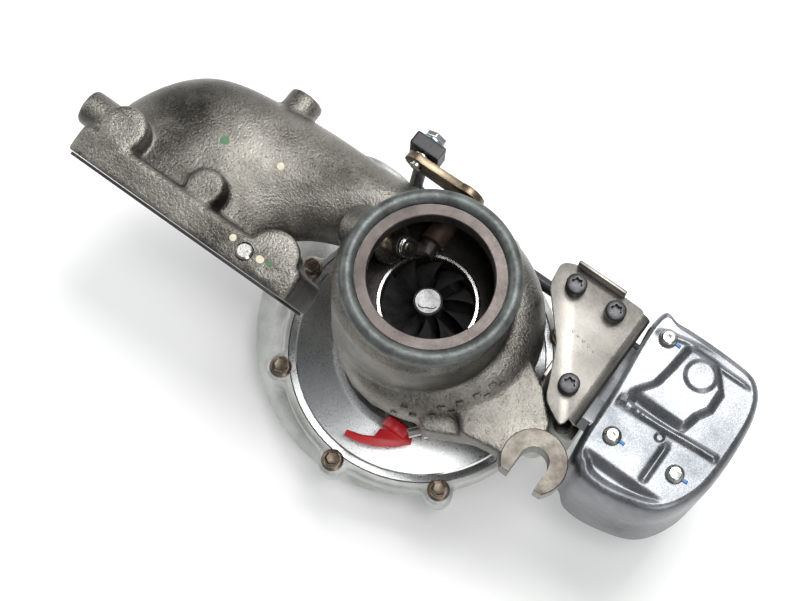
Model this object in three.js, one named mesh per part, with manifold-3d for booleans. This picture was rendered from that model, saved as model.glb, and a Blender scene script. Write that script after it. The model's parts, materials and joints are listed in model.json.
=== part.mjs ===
// Turbocharger with cast-on exhaust manifold elbow, internal wastegate and electric actuator.
// Millimetres, +Z up. The shaft axis is vertical: the turbine outlet looks up, and the
// compressor inlet and one foot pad of the compressor scroll stand on Z = 0.
// Every sub-part is drawn with the shaft on X = Y = 0 and the last group moves the whole
// assembly so that the origin is the centre of its bounding box on the ground.
import * as THREE from 'three';
import { mergeVertices } from 'three/addons/utils/BufferGeometryUtils.js';
import Module from 'manifold-3d';

const wasm = await Module();
wasm.setup();

// ---- driving dimensions -------------------------------------------------------------
const SHAFT_X = 17.5; // shaft axis in the part's own frame
const SHAFT_Y = 0;
const GAP = 0.3; // assembly gap between neighbouring pieces

const OUTLET_TOP = 180; // sealing face of the turbine outlet flange
const OUTLET_R = 40.3;
const OUTLET_BORE = 28.1;
const CUP_X = -3; // the outlet chamber is cored off-centre, towards the wastegate
const CUP_R = 37;
const CUP_WALL = 4.5;
const CUP_FLOOR = 134;

const SCROLL_Z = 116; // middle plane of the turbine scroll and its inlet runner
const SCROLL_WALL = 4;
const SCROLL_INSIDE = 23;
const WHEEL_TOP = 140;
const WHEEL_BACK = 115;
const EXDUCER_R = 20.9;
const INDUCER_R = 24;
const HUB_R = 6.6;
const TURBINE_BLADES = 10;

const FLANGE_FACE_Y = -39.5; // manifold sealing face
const FLANGE_X = [-176, -51];
const FLANGE_Z = [87, 147];
const FLANGE_THICK = 15;
const FLANGE_TILT = THREE.MathUtils.degToRad(13); // the sealing face looks slightly down
const FORK_CENTRE = [80, -29];
const FORK_R = 15.5;
const FORK_SLOT = 7;
const FORK_Z = [115.5, 127.5];
const PIN_PLACE = [-79, -32];
const PORT_SIZE = [36, 32];
const PORT_X = [-149, -106];

const JOINT_Z = 91; // turbine housing meets the centre housing
const JOINT_R = 38;
const PLATE_TOP = 58; // rim of the compressor back plate
const PLATE_R = 65.7;
const PLATE_BOTTOM = 51.3;
const RIM_R = 69.5;
const BOLT_CIRCLE_R = 70;
const BOLT_FIRST_DEG = -2.4;
const BOLT_COUNT = 8;

const COMPRESSOR_R = 29;
const COMPRESSOR_EYE_R = 21;
const COMPRESSOR_BACK = 50.5;
const COMPRESSOR_NOSE = 20;
const INLET_R = 30;
const INLET_BORE = 23;
const DISCHARGE_X = -73;
const DISCHARGE_Y = 76;
const DISCHARGE_R = 22;
const FOOT_SCREW_X = 78;
const FOOT_SCREW_Y = [8.5, 19.5];

const GATE_AXIS = { x: -14, z: 145.5 }; // wastegate shaft, along Y
const GATE_ARM = 13;
const GATE_Y = 10.5;
const GATE_TILT = THREE.MathUtils.degToRad(50); // valve stem, from vertical towards +X

const CRANK = { x: -28, z: 0 }; // crank pin from the wastegate shaft
const LEVER_AXIS = { x: 76, z: 81 }; // actuator output shaft, along Y
const MODULE = 1.875;
const SECTOR_TEETH = 24;
const WHEEL_TEETH = 18;
const PINION_TEETH = 6;
const MESH_SLACK = 0.35;
const MOTOR_END_Y = -14;
const BRACKET_SCREWS = [[49, 49], [70.6, 49], [72.8, 8]];
const SHIELD_SCREWS = [[101.6, 1], [134, 3], [97, 54]];
const POST_TOP = 126.8;
const SHIELD_TOP = 129;

// ---- small tools --------------------------------------------------------------------
const DEG = Math.PI / 180;
const lerp = THREE.MathUtils.lerp;
const smooth = THREE.MathUtils.smoothstep;

// Turns a closed three.js geometry into a solid, facing out whichever way it was mapped.
function solid(geometry) {
  const bare = geometry.index ? geometry.toNonIndexed() : geometry.clone();
  for (const name of Object.keys(bare.attributes)) {
    if (name !== 'position') bare.deleteAttribute(name);
  }
  const merged = mergeVertices(bare, 1e-4);
  const corners = merged.attributes.position.array;
  const faces = new Uint32Array(merged.index.array);
  let made = new wasm.Manifold(new wasm.Mesh({
    numProp: 3, vertProperties: corners, triVerts: faces,
  }));
  if (made.volume() < 0) {
    for (let i = 0; i < faces.length; i += 3) {
      [faces[i + 1], faces[i + 2]] = [faces[i + 2], faces[i + 1]];
    }
    made = new wasm.Manifold(new wasm.Mesh({
      numProp: 3, vertProperties: corners, triVerts: faces,
    }));
  }
  return made;
}

function joined(...pieces) {
  return pieces.reduce((whole, piece) => whole.add(piece));
}

function cut(whole, ...tools) {
  return tools.reduce((rest, tool) => rest.subtract(tool), whole);
}

// Solid of revolution about Z from a closed list of [radius, z].
function turned(profile, sides = 48, x = 0, y = 0) {
  const outline = [...profile, profile[0]].map(([r, z]) => new THREE.Vector2(r, z));
  const geometry = new THREE.LatheGeometry(outline, sides);
  geometry.rotateX(Math.PI / 2);
  geometry.translate(x, y, 0);
  return solid(geometry);
}

// Round bar between two points.
function bar(from, to, radius, sides = 24, endRadius = radius) {
  const start = new THREE.Vector3(...from);
  const end = new THREE.Vector3(...to);
  const along = end.clone().sub(start);
  const geometry = new THREE.CylinderGeometry(endRadius, radius, along.length(), sides);
  const turn = new THREE.Quaternion().setFromUnitVectors(
    new THREE.Vector3(0, 1, 0), along.clone().normalize());
  geometry.applyQuaternion(turn);
  geometry.translate(...start.add(end).multiplyScalar(0.5));
  return solid(geometry);
}

function block(low, high) {
  const size = high.map((v, i) => v - low[i]);
  const geometry = new THREE.BoxGeometry(...size);
  geometry.translate(...high.map((v, i) => (v + low[i]) / 2));
  return solid(geometry);
}

// Outline with round holes [x, y, radius]; the outline runs anticlockwise, the holes clockwise.
function outlineOf(points, holes = []) {
  const corners = points.map(([x, y]) => new THREE.Vector2(x, y));
  if (THREE.ShapeUtils.isClockWise(corners)) corners.reverse();
  const shape = new THREE.Shape(corners);
  for (const [x, y, r] of holes) {
    shape.holes.push(new THREE.Path().absarc(x, y, r, 0, 2 * Math.PI, true));
  }
  return shape;
}

// Plate in the XY plane between two heights.
function flat(points, z0, z1, holes = [], curveSegments = 12) {
  const geometry = new THREE.ExtrudeGeometry(outlineOf(points, holes), {
    depth: z1 - z0, bevelEnabled: false, curveSegments,
  });
  geometry.translate(0, 0, z0);
  return solid(geometry);
}

// Plate in the XZ plane between two Y values; points are [x, z]. A tilt turns it about the
// manifold flange's top front edge.
function upright(points, y0, y1, holes = [], curveSegments = 12, tilt = 0) {
  const mirrored = points.map(([x, z]) => [x, -z]);
  const holesDown = holes.map(([x, z, r]) => [x, -z, r]);
  const geometry = new THREE.ExtrudeGeometry(outlineOf(mirrored, holesDown), {
    depth: y1 - y0, bevelEnabled: false, curveSegments,
  });
  geometry.rotateX(-Math.PI / 2);
  geometry.translate(0, y0 - FLANGE_FACE_Y, -FLANGE_Z[1]);
  geometry.rotateX(tilt);
  geometry.translate(0, FLANGE_FACE_Y, FLANGE_Z[1]);
  return solid(geometry);
}

// Rounded rectangle as a point list.
function rounded(x0, y0, x1, y1, radius, steps = 4) {
  const corners = [[x1, y1, 0], [x0, y1, 90], [x0, y0, 180], [x1, y0, 270]];
  return corners.flatMap(([x, y, start]) => {
    const cx = x === x1 ? x - radius : x + radius;
    const cy = y === y1 ? y - radius : y + radius;
    return Array.from({ length: steps + 1 }, (_, i) => {
      const a = (start + (90 * i) / steps) * DEG;
      return [cx + radius * Math.cos(a), cy + radius * Math.sin(a)];
    });
  });
}

// Closed loft: a cylinder whose rings are laid on sections(t) = { centre, side, half, rise }.
// side is the unit direction of the half-width, rise is the half-height along Z.
function loft(sections, steps, sides) {
  const geometry = new THREE.CylinderGeometry(1, 1, 1, sides, steps);
  const place = geometry.attributes.position;
  for (let i = 0; i < place.count; i += 1) {
    const t = 0.5 - place.getY(i);
    const { centre, side, half, rise } = sections(t);
    const across = place.getX(i) * half;
    const up = place.getZ(i) * rise;
    place.setXYZ(i, centre.x + side.x * across, centre.y + side.y * across, centre.z + up);
  }
  return solid(geometry);
}

function mesh(name, body, color, roughness, metalness) {
  const { vertProperties, triVerts, numProp } = body.getMesh();
  const geometry = new THREE.BufferGeometry();
  const corners = new Float32Array((vertProperties.length / numProp) * 3);
  for (let i = 0; i < corners.length / 3; i += 1) {
    for (let k = 0; k < 3; k += 1) corners[3 * i + k] = vertProperties[i * numProp + k];
  }
  geometry.setAttribute('position', new THREE.BufferAttribute(corners, 3));
  geometry.setIndex(new THREE.BufferAttribute(new Uint32Array(triVerts), 1));
  geometry.computeVertexNormals();
  const material = new THREE.MeshStandardMaterial({ color, roughness, metalness });
  const made = new THREE.Mesh(geometry, material);
  made.name = name;
  assembly.add(made);
  return made;
}

const assembly = new THREE.Group();
const CAST_STEEL = ['#77776f', 0.6, 0.8];
const CAST_ALUMINIUM = ['#b4b6b8', 0.55, 0.8];
const TURNED_ALUMINIUM = ['#c3c5c7', 0.3, 0.9];
const DARK_STEEL = ['#45433f', 0.45, 0.9];
const BRIGHT_STEEL = ['#a9a9a6', 0.3, 0.95];
const BLACK_PLASTIC = ['#1d1e20', 0.5, 0];

// ---- turbine housing ----------------------------------------------------------------
// The scroll shrinks clockwise, seen from the outlet, from its inlet on the +Y side.
function scrollSections(wall) {
  return (t) => {
    const angle = (90 - 275 * t) * DEG;
    const outside = 56 - 12 * smooth(t, 0.25, 0.85);
    const radius = (outside + SCROLL_INSIDE) / 2;
    return {
      centre: new THREE.Vector3(radius * Math.cos(angle), radius * Math.sin(angle), SCROLL_Z),
      side: new THREE.Vector3(Math.cos(angle), Math.sin(angle), 0),
      half: (outside - SCROLL_INSIDE) / 2 - wall,
      rise: lerp(19, 12, t) - wall,
    };
  };
}

const RUNNER_INSIDE = new THREE.SplineCurve([
  [-80, -33], [-79, -18], [-70, -4], [-52, 6], [-25, 16], [0.5, 23],
].map(([x, y]) => new THREE.Vector2(x, y)));
const RUNNER_OUTSIDE = new THREE.SplineCurve([
  [-176, -33], [-176, 4], [-152, 37], [-102, 47], [-45, 48.5], [0.5, 56],
].map(([x, y]) => new THREE.Vector2(x, y)));

// The elbow gathers the ports and turns from -Y towards the scroll inlet.
function runnerSections(wall, start) {
  return (share) => {
    const t = lerp(start, 1, share);
    const inside = RUNNER_INSIDE.getPoint(t);
    const outside = RUNNER_OUTSIDE.getPoint(t);
    const middle = inside.clone().add(outside).multiplyScalar(0.5);
    const across = outside.clone().sub(inside);
    const half = across.length() / 2;
    across.normalize();
    return {
      centre: new THREE.Vector3(middle.x, middle.y, SCROLL_Z),
      side: new THREE.Vector3(across.x, across.y, 0),
      half: half - wall,
      rise: lerp(25, 19, smooth(t, 0.1, 0.8)) - wall,
    };
  };
}

const GATE_STEM = new THREE.Vector3(Math.sin(GATE_TILT), 0, Math.cos(GATE_TILT));
const GATE_CENTRE = new THREE.Vector3(
  GATE_AXIS.x - GATE_ARM * Math.cos(GATE_TILT), GATE_Y,
  GATE_AXIS.z + GATE_ARM * Math.sin(GATE_TILT));

function alongStem(distance) {
  return GATE_CENTRE.clone().addScaledVector(GATE_STEM, distance).toArray();
}

function studHoles(radius) {
  const [x0, x1] = FLANGE_X;
  const [z0, z1] = FLANGE_Z;
  return [[x0 + 9, z0 + 9], [x0 + 9, z1 - 9], [x1 - 9, z0 + 9], [x1 - 9, z1 - 9]]
    .map(([x, z]) => [x, z, radius]);
}

function manifoldFlange() {
  const plate = upright(rounded(FLANGE_X[0], FLANGE_Z[0], FLANGE_X[1], FLANGE_Z[1], 8),
    FLANGE_FACE_Y, FLANGE_FACE_Y + FLANGE_THICK, studHoles(4.2), 5, FLANGE_TILT);
  return cut(plate, turned([[0, 135.5], [4.3, 135.5], [4.3, 152], [0, 152]], 16, ...PIN_PLACE));
}

// Everything in front of the sealing face, for machining it flat.
function beforeFlangeFace() {
  return upright([[-200, 60], [-40, 60], [-40, 160], [-200, 160]], FLANGE_FACE_Y - 30, FLANGE_FACE_Y,
    [], 5, FLANGE_TILT);
}

// Open-ended fork that an engine bracket's bolt slides into.
function supportFork() {
  const arm = [[36, -28], [46, -37.5], [69, -34], [73, -20], [77, -11], [64, 2], [48, 12]];
  const [x, y] = FORK_CENTRE;
  const slot = [[x - FORK_SLOT, y - 30], [x + FORK_SLOT, y - 30], [x + FORK_SLOT, y],
    [x + FORK_SLOT * 0.7, y + FORK_SLOT * 0.7], [x, y + FORK_SLOT],
    [x - FORK_SLOT * 0.7, y + FORK_SLOT * 0.7], [x - FORK_SLOT, y]];
  const [z0, z1] = FORK_Z;
  const eye = turned([[0, z0], [FORK_R, z0], [FORK_R, z1], [0, z1]], 20, x, y);
  const below = block([x - 20, y - 20, z0 - 1], [x + 20, y - 10.5, z1 + 1]);
  return cut(joined(flat(arm, z0, z1), eye), flat(slot, z0 - 1, z1 + 1), below);
}

function portTools(grow, y0, y1) {
  const [width, height] = PORT_SIZE.map((size) => size / 2 + grow);
  return PORT_X.map((x) => upright(rounded(x - width, SCROLL_Z - height, x + width,
    SCROLL_Z + height, 12, 2), y0, y1, [], 5, FLANGE_TILT));
}

function turbineHousing() {
  const scroll = loft(scrollSections(0), 14, 12);
  const elbow = loft(runnerSections(0, 0), 9, 12);
  const cup = turned([[0, 104], [CUP_R + CUP_WALL, 104], [CUP_R + CUP_WALL, 163],
    [CUP_R + 1, 168], [0, 168]], 24, CUP_X);
  const outlet = turned([[0, 160], [36, 164], [39, 168], [OUTLET_R, 170.5], [OUTLET_R, 176],
    [39, 179], [36.6, OUTLET_TOP], [0, OUTLET_TOP]], 32);
  const barrel = turned([[0, JOINT_Z], [JOINT_R, JOINT_Z], [JOINT_R, JOINT_Z + 4],
    [34, JOINT_Z + 7], [34, 118], [0, 118]], 24);
  const stub = bar([-187, -14, 132], [-161, -14, 132], 9, 12);
  const boss = bar([-110, 40, SCROLL_Z], [-110, 55.5, SCROLL_Z], 9.2, 12);
  const shaftBoss = bar([GATE_AXIS.x, 26, GATE_AXIS.z], [GATE_AXIS.x, 46.5, GATE_AXIS.z], 9.5, 12);
  const outer = joined(scroll, elbow, cup, outlet, barrel, manifoldFlange(), stub, boss,
    shaftBoss, supportFork());

  const shroud = turned([[0, 120], [24.4, 120], [24.4, WHEEL_TOP], [0, WHEEL_TOP]], 24);
  const chamber = cut(turned([[0, CUP_FLOOR], [CUP_R, CUP_FLOOR], [CUP_R, 161], [34, 166],
    [OUTLET_BORE, 170], [0, 170]], 24, CUP_X), shroud);
  const bore = turned([[0, 165], [OUTLET_BORE, 165], [OUTLET_BORE, 177.2], [33.2, 177.2],
    [33.8, 181], [0, 181]], 32);
  const core = turned([[0, JOINT_Z - 1], [29, JOINT_Z - 1], [29, 111], [32, SCROLL_Z - 4],
    [32, SCROLL_Z + 4], [INDUCER_R + 0.6, SCROLL_Z + 4.5], [EXDUCER_R + 0.5, 128],
    [EXDUCER_R + 0.5, WHEEL_TOP + 1], [0, WHEEL_TOP + 1]], 24);
  const seatBoss = bar(alongStem(-32), alongStem(-10), 12.5, 12);
  const seatBore = bar(alongStem(-30), alongStem(-9), 8, 12);
  const bleed = bar([-44, 24, SCROLL_Z], alongStem(-26), 8, 8);
  const bushBore = bar([GATE_AXIS.x, 20, GATE_AXIS.z], [GATE_AXIS.x, 47, GATE_AXIS.z],
    6 + GAP, 12);
  const shell = joined(cut(outer, chamber, bore), seatBoss);
  return cut(shell, loft(scrollSections(SCROLL_WALL), 14, 8),
    loft(runnerSections(SCROLL_WALL, 0.1), 9, 10), ...portTools(0, FLANGE_FACE_Y - 1, -20),
    core, seatBore, bleed, bushBore, beforeFlangeFace());
}

function manifoldGasket() {
  const [x0, x1] = FLANGE_X;
  const [z0, z1] = FLANGE_Z;
  const face = FLANGE_FACE_Y - GAP;
  const sheet = upright(rounded(x0 + 1, z0 + 1, x1 - 1, z1 - 1, 7), face - 1.5, face,
    studHoles(4.8), 5, FLANGE_TILT);
  return cut(sheet, ...portTools(0.6, face - 3, face + 1));
}

function flangePin() {
  return turned([[0, 136], [4, 136], [4, FLANGE_Z[1] + 3], [0, FLANGE_Z[1] + 3]], 16,
    ...PIN_PLACE);
}

// ---- rotor --------------------------------------------------------------------------
// One blade: a thin box bent onto the wheel. u runs from inducer to exducer, v from hub out.
function blade(wheel, index) {
  const geometry = new THREE.BoxGeometry(1, 1, 1, wheel.steps, 1, 1);
  const place = geometry.attributes.position;
  for (let i = 0; i < place.count; i += 1) {
    const u = place.getX(i) + 0.5;
    const v = place.getY(i) + 0.5;
    const [hubR, hubZ] = wheel.hub(u);
    const [tipR, tipZ] = wheel.tip(u);
    const radius = lerp(hubR, tipR, v);
    const lean = place.getZ(i) * (wheel.thick / radius);
    const angle = (360 * index) / wheel.count * DEG + wheel.twist(u, v) + lean;
    place.setXYZ(i, radius * Math.cos(angle), radius * Math.sin(angle), lerp(hubZ, tipZ, v));
  }
  return solid(geometry);
}

const TURBINE = {
  count: TURBINE_BLADES, steps: 2, thick: 1.1,
  hub: (u) => [lerp(14, HUB_R - 1.2, smooth(u, 0, 0.75)), lerp(WHEEL_BACK + 2.2, WHEEL_TOP - 1.5, u)],
  tip: (u) => [lerp(INDUCER_R, EXDUCER_R, smooth(u, 0, 0.5)),
    lerp(WHEEL_BACK + 2, WHEEL_TOP, u ** 1.15)],
  twist: (u, v) => -0.75 * smooth(u, 0.35, 1.15) * lerp(0.55, 1, v),
};

const COMPRESSOR = {
  count: 10, steps: 2, thick: 0.8,
  hub: (u) => [lerp(COMPRESSOR_R - 1, 7, smooth(u, 0, 0.8)),
    lerp(COMPRESSOR_BACK - 1.4, COMPRESSOR_NOSE + 5, u)],
  tip: (u) => [lerp(COMPRESSOR_R, COMPRESSOR_EYE_R, smooth(u, 0, 0.6)),
    lerp(COMPRESSOR_BACK - 4.2, COMPRESSOR_NOSE + 4, u ** 1.1)],
  twist: (u, v) => 0.9 * u * lerp(0.7, 1, v),
};

function turbineWheel() {
  const hub = turned([[0, WHEEL_BACK], [19, WHEEL_BACK], [19, WHEEL_BACK + 1.5],
    [14.5, WHEEL_BACK + 3], [10.5, WHEEL_BACK + 8], [8, WHEEL_BACK + 14],
    [HUB_R, WHEEL_TOP - 3], [HUB_R, WHEEL_TOP + 1.5], [HUB_R - 1, WHEEL_TOP + 2.5],
    [0, WHEEL_TOP + 2.5]], 12);
  const blades = Array.from({ length: TURBINE.count }, (_, i) => blade(TURBINE, i));
  return joined(hub, ...blades);
}

function compressorWheel() {
  const back = COMPRESSOR_BACK;
  const nose = COMPRESSOR_NOSE;
  const hub = turned([[3.3, back], [COMPRESSOR_R, back], [COMPRESSOR_R, back - 1.2],
    [20, back - 3.5], [13, back - 9], [9.5, back - 17], [8, nose + 4], [7.5, nose], [3.3, nose]],
  12);
  const blades = Array.from({ length: COMPRESSOR.count }, (_, i) => blade(COMPRESSOR, i));
  const shaftHole = turned([[0, nose - 1], [3.3, nose - 1], [3.3, back + 1], [0, back + 1]], 12);
  return cut(joined(hub, ...blades), shaftHole);
}

function rotorShaft() {
  return turned([[0, 14.5], [3, 14.5], [3, 59.4], [4.4, 59.4], [4.4, 86.2], [8.5, 86.2],
    [8.5, 88.4], [7.6, 88.4], [7.6, 90], [8.5, 90], [8.5, WHEEL_BACK - GAP],
    [0, WHEEL_BACK - GAP]], 16);
}

function thrustCollar() {
  return turned([[3.3, 50.8], [6.8, 50.8], [6.8, 54], [5.8, 54], [5.8, 55.6], [6.8, 55.6],
    [6.8, 59.1], [3.3, 59.1]], 14);
}

function ringAt(inner, outer, z0, z1, sides = 16) {
  return turned([[inner, z0], [outer, z0], [outer, z1], [inner, z1]], sides);
}

function shaftNut() {
  const hole = turned([[0, 15], [3.3, 15], [3.3, 20], [0, 20]], 16);
  return cut(turned([[0, 15.6], [5.4, 15.6], [5.4, 19.6], [0, 19.6]], 6), hole);
}

// ---- centre housing -----------------------------------------------------------------
function centreHousing() {
  const body = turned([[0, 62], [40, 62], [40, 66.5], [26, 69], [26, 82], [JOINT_R, 86.7],
    [JOINT_R, JOINT_Z - GAP], [0, JOINT_Z - GAP]], 24);
  const oilBoss = block([6, -40, 69], [24, -18, 86]);
  const waterBoss = bar([14, 12, 77], [29, 25, 77], 7.5, 10);
  const oilHole = bar([15, -41, 77.5], [15, -12, 77.5], 4.2, 8);
  const waterHole = bar([20, 17.2, 77], [30, 25.9, 77], 4.6, 8);
  const shaftHole = turned([[0, 61], [20.5, 61], [20.5, 65.8], [9.4, 65.8], [9.4, 93], [0, 93]], 16);
  return cut(joined(body, oilBoss, waterBoss), shaftHole, oilHole, waterHole);
}

function turbineHeatShield() {
  return turned([[9.2, 110.2], [26, 110.2], [28.6, 108], [28.6, 93], [27.6, 93], [27.6, 107.4],
    [25.6, 109.2], [9.2, 109.2]], 24);
}

function journalBearing() {
  const sleeve = turned([[4.7, 66.2], [8.9, 66.2], [8.9, 73], [8, 74], [8, 79], [8.9, 80],
    [8.9, 85.8], [4.7, 85.8]], 16);
  return cut(sleeve, bar([-12, 0, 76.5], [12, 0, 76.5], 1.2, 8));
}

// Red shipping plug of the oil port, with its pull strap.
function oilPortPlug() {
  const strap = [[9, -47.4], [24, -41.6], [25.5, -45], [20, -50.5], [13, -55.2], [5, -58.8],
    [-3, -60.4], [-3.6, -57.2], [4, -55], [9, -52]];
  return joined(bar([15, -36, 77.5], [15, -41, 77.5], 3.5, 12),
    bar([15, -40.4, 77.5], [15, -45.6, 77.5], 6.6, 16), flat(strap, 76.6, 78.4));
}

// ---- clamp band ---------------------------------------------------------------------
const CLAMP_ANGLE = -40.5;
const CLAMP_Z = JOINT_Z;

function clampPoint(radius, offset, z) {
  const a = CLAMP_ANGLE * DEG;
  return [radius * Math.cos(a) - offset * Math.sin(a),
    radius * Math.sin(a) + offset * Math.cos(a), z];
}

function clampBand() {
  const ring = turned([[39.2, CLAMP_Z - 5], [42, CLAMP_Z - 5], [42, CLAMP_Z + 5],
    [39.2, CLAMP_Z + 5]], 20);
  const lugs = [-1, 1].map((side) => {
    const from = clampPoint(45, side * 3.5, CLAMP_Z);
    const to = clampPoint(45, side * 8.5, CLAMP_Z);
    return bar(from, to, 5.4, 10);
  });
  const boltHole = bar(clampPoint(46, -14, CLAMP_Z), clampPoint(46, 14, CLAMP_Z), 2.8, 8);
  const slit = flat([[36, -2.5], [60, -2.5], [60, 2.5], [36, 2.5]].map(([radius, offset]) => (
    clampPoint(radius, offset, 0).slice(0, 2))), CLAMP_Z - 8, CLAMP_Z + 8);
  return cut(joined(ring, ...lugs), slit, boltHole);
}

function clampBolt() {
  return joined(bar(clampPoint(46, -19, CLAMP_Z), clampPoint(46, 15, CLAMP_Z), 2.5, 12),
    bar(clampPoint(46, -12.4, CLAMP_Z), clampPoint(46, -8.8, CLAMP_Z), 5, 12));
}

function clampNut() {
  const hex = bar(clampPoint(46, 9, CLAMP_Z), clampPoint(46, 13.5, CLAMP_Z), 4.8, 6);
  return cut(hex, bar(clampPoint(46, 8, CLAMP_Z), clampPoint(46, 15, CLAMP_Z), 2.8, 12));
}

// ---- compressor end -----------------------------------------------------------------
function backPlate() {
  return turned([[9, PLATE_BOTTOM], [62, PLATE_BOTTOM], [62, 54], [PLATE_R, 54], [PLATE_R, PLATE_TOP],
    [62, PLATE_TOP + 0.4], [44, 61.7], [9, 61.7]], 32);
}

// The compressor scroll grows clockwise, seen from the outlet, to the discharge on the -X side.
function diffuserSections(wall) {
  return (t) => {
    const angle = (150 - 330 * t) * DEG;
    const outside = lerp(60, -DISCHARGE_X + DISCHARGE_R, t ** 4);
    const tube = lerp(10, DISCHARGE_R, t ** 1.4);
    const radius = outside - tube;
    return {
      centre: new THREE.Vector3(radius * Math.cos(angle), radius * Math.sin(angle),
        lerp(33, DISCHARGE_R + 1.5, t ** 1.5)),
      side: new THREE.Vector3(Math.cos(angle), Math.sin(angle), 0),
      half: tube - wall,
      rise: tube - wall,
    };
  };
}

function boltAngles() {
  return Array.from({ length: BOLT_COUNT }, (_, i) => (BOLT_FIRST_DEG + (360 / BOLT_COUNT) * i) * DEG);
}

function atBolts(profile, sides) {
  return boltAngles().map((a) => turned(profile, sides, BOLT_CIRCLE_R * Math.cos(a),
    BOLT_CIRCLE_R * Math.sin(a)));
}

function compressorHousing() {
  const pipeZ = DISCHARGE_R + 1.5;
  const scroll = loft(diffuserSections(0), 15, 10);
  const disc = turned([[0, 20], [34, 20], [50, 40], [RIM_R, 47], [RIM_R, PLATE_TOP], [0, PLATE_TOP]],
    32);
  const inlet = turned([[0, 0], [INLET_R, 0], [INLET_R, 4], [INLET_R - 3, 6], [INLET_R - 3, 24],
    [0, 24]], 24);
  const discharge = bar([DISCHARGE_X, -2, pipeZ], [DISCHARGE_X, DISCHARGE_Y, pipeZ], DISCHARGE_R, 16);
  const pad = block([DISCHARGE_X - 9, -12, 0], [DISCHARGE_X + 9, 12, 12]);
  const bosses = atBolts([[0, 42], [7.5, 42], [7.5, PLATE_TOP], [0, PLATE_TOP]], 8);
  const bracketBoss = joined(block([56, 4, 36], [86, 24, 50]), block([69.8, 4, 44], [86, 24, 63.6]));
  const outer = joined(scroll, disc, inlet, discharge, pad, ...bosses, bracketBoss);

  const recess = turned([[0, PLATE_BOTTOM - 0.3], [62.3, PLATE_BOTTOM - 0.3], [62.3, 53.7],
    [PLATE_R + GAP, 53.7], [PLATE_R + GAP, 60], [0, 60]], 32);
  const shroudLine = [1, 0.6, 0.4, 0.25, 0.12, 0].map((u) => {
    const [r, z] = COMPRESSOR.tip(u);
    return [r + 0.6, z - 0.6];
  });
  const wheelRoom = turned([[0, -1], [INLET_BORE + 2, -1], [INLET_BORE, 3],
    [COMPRESSOR_EYE_R + 0.6, 18], ...shroudLine, [46, 45.7], [46, 51.2], [0, 51.2]], 24);
  const threads = atBolts([[0, 44], [2.9, 44], [2.9, 60], [0, 60]], 6);
  const footHoles = FOOT_SCREW_Y.map((y) => turned([[0, 48], [3.4, 48], [3.4, 65], [0, 65]], 8,
    FOOT_SCREW_X, y));
  const dischargeBore = bar([DISCHARGE_X, -6, pipeZ], [DISCHARGE_X, DISCHARGE_Y + 1, pipeZ],
    DISCHARGE_R - 4, 12);
  return cut(outer, loft(diffuserSections(4), 15, 8), recess, wheelRoom, dischargeBore, ...threads,
    ...footHoles);
}

// Flanged hexagon screw, axis along Z, head up.
function flangeBolt(x, y, seat, length, radius, across, flangeR, headHeight) {
  const shank = turned([[0, seat - length], [radius, seat - length], [radius, seat + 0.5],
    [0, seat + 0.5]], 6, x, y);
  const washer = turned([[0, seat], [flangeR, seat], [flangeR, seat + 0.8],
    [across * 0.62, seat + 1.8], [0, seat + 1.8]], 10, x, y);
  const hex = turned([[0, seat + 1], [across / Math.sqrt(3), seat + 1],
    [across / Math.sqrt(3), seat + headHeight], [0, seat + headHeight]], 6, x, y);
  return joined(shank, washer, hex);
}

// Cylinder-head screw with a star socket, axis along Z, head up.
function socketScrew(x, y, seat, length, radius, headR, headHeight) {
  const shank = turned([[0, seat - length], [radius, seat - length], [radius, seat + 0.5],
    [0, seat + 0.5]], 6, x, y);
  const head = turned([[0, seat], [headR, seat], [headR, seat + headHeight - 0.7],
    [headR - 0.7, seat + headHeight], [0, seat + headHeight]], 12, x, y);
  const socket = turned([[0, seat + headHeight - 2.6], [headR * 0.5, seat + headHeight - 2.6],
    [headR * 0.5, seat + headHeight + 1], [0, seat + headHeight + 1]], 6, x, y);
  return cut(joined(shank, head), socket);
}

// ---- wastegate ----------------------------------------------------------------------
function wastegateArm() {
  const shaft = bar([GATE_AXIS.x, 17, GATE_AXIS.z], [GATE_AXIS.x, 53, GATE_AXIS.z], 4, 12);
  const knuckle = bar([GATE_AXIS.x, 15.5, GATE_AXIS.z], [GATE_AXIS.x, 22, GATE_AXIS.z], 5, 10);
  const eye = bar(alongStem(-1.6), alongStem(2.4), 5.6, 12);
  const neck = bar([GATE_AXIS.x, 18, GATE_AXIS.z], alongStem(0.4), 3.6, 8, 3.2);
  const above = bar(alongStem(2.5), alongStem(12), 5.5, 10);
  const below = bar(alongStem(-14), alongStem(-1.7), 5.5, 10);
  const stemHole = bar(alongStem(-6), alongStem(6), 3.1, 8);
  return cut(joined(shaft, knuckle, eye, neck), stemHole, above, below);
}

function wastegateValve() {
  const disc = bar(alongStem(-9.6), alongStem(-6.6), 10.5, 16);
  const collar = bar(alongStem(-6.6), alongStem(-2), 4.6, 10);
  const stem = bar(alongStem(-7), alongStem(5.6), 2.7, 10);
  return joined(disc, collar, stem);
}

function valveWasher() {
  const ring = bar(alongStem(2.8), alongStem(5.2), 4.8, 12);
  return cut(ring, bar(alongStem(2), alongStem(7), 3, 8));
}

function yRing(x, z, y0, y1, outer, inner, sides = 12) {
  const hole = bar([x, y0 - 1, z], [x, y1 + 1, z], inner, 12);
  return cut(bar([x, y0, z], [x, y1, z], outer, sides), hole);
}

const PIN_X = GATE_AXIS.x + CRANK.x;
const PIN_Z = GATE_AXIS.z + CRANK.z;
const LEVER_PIN_X = LEVER_AXIS.x + CRANK.x;
const LEVER_PIN_Z = LEVER_AXIS.z + CRANK.z;

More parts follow.
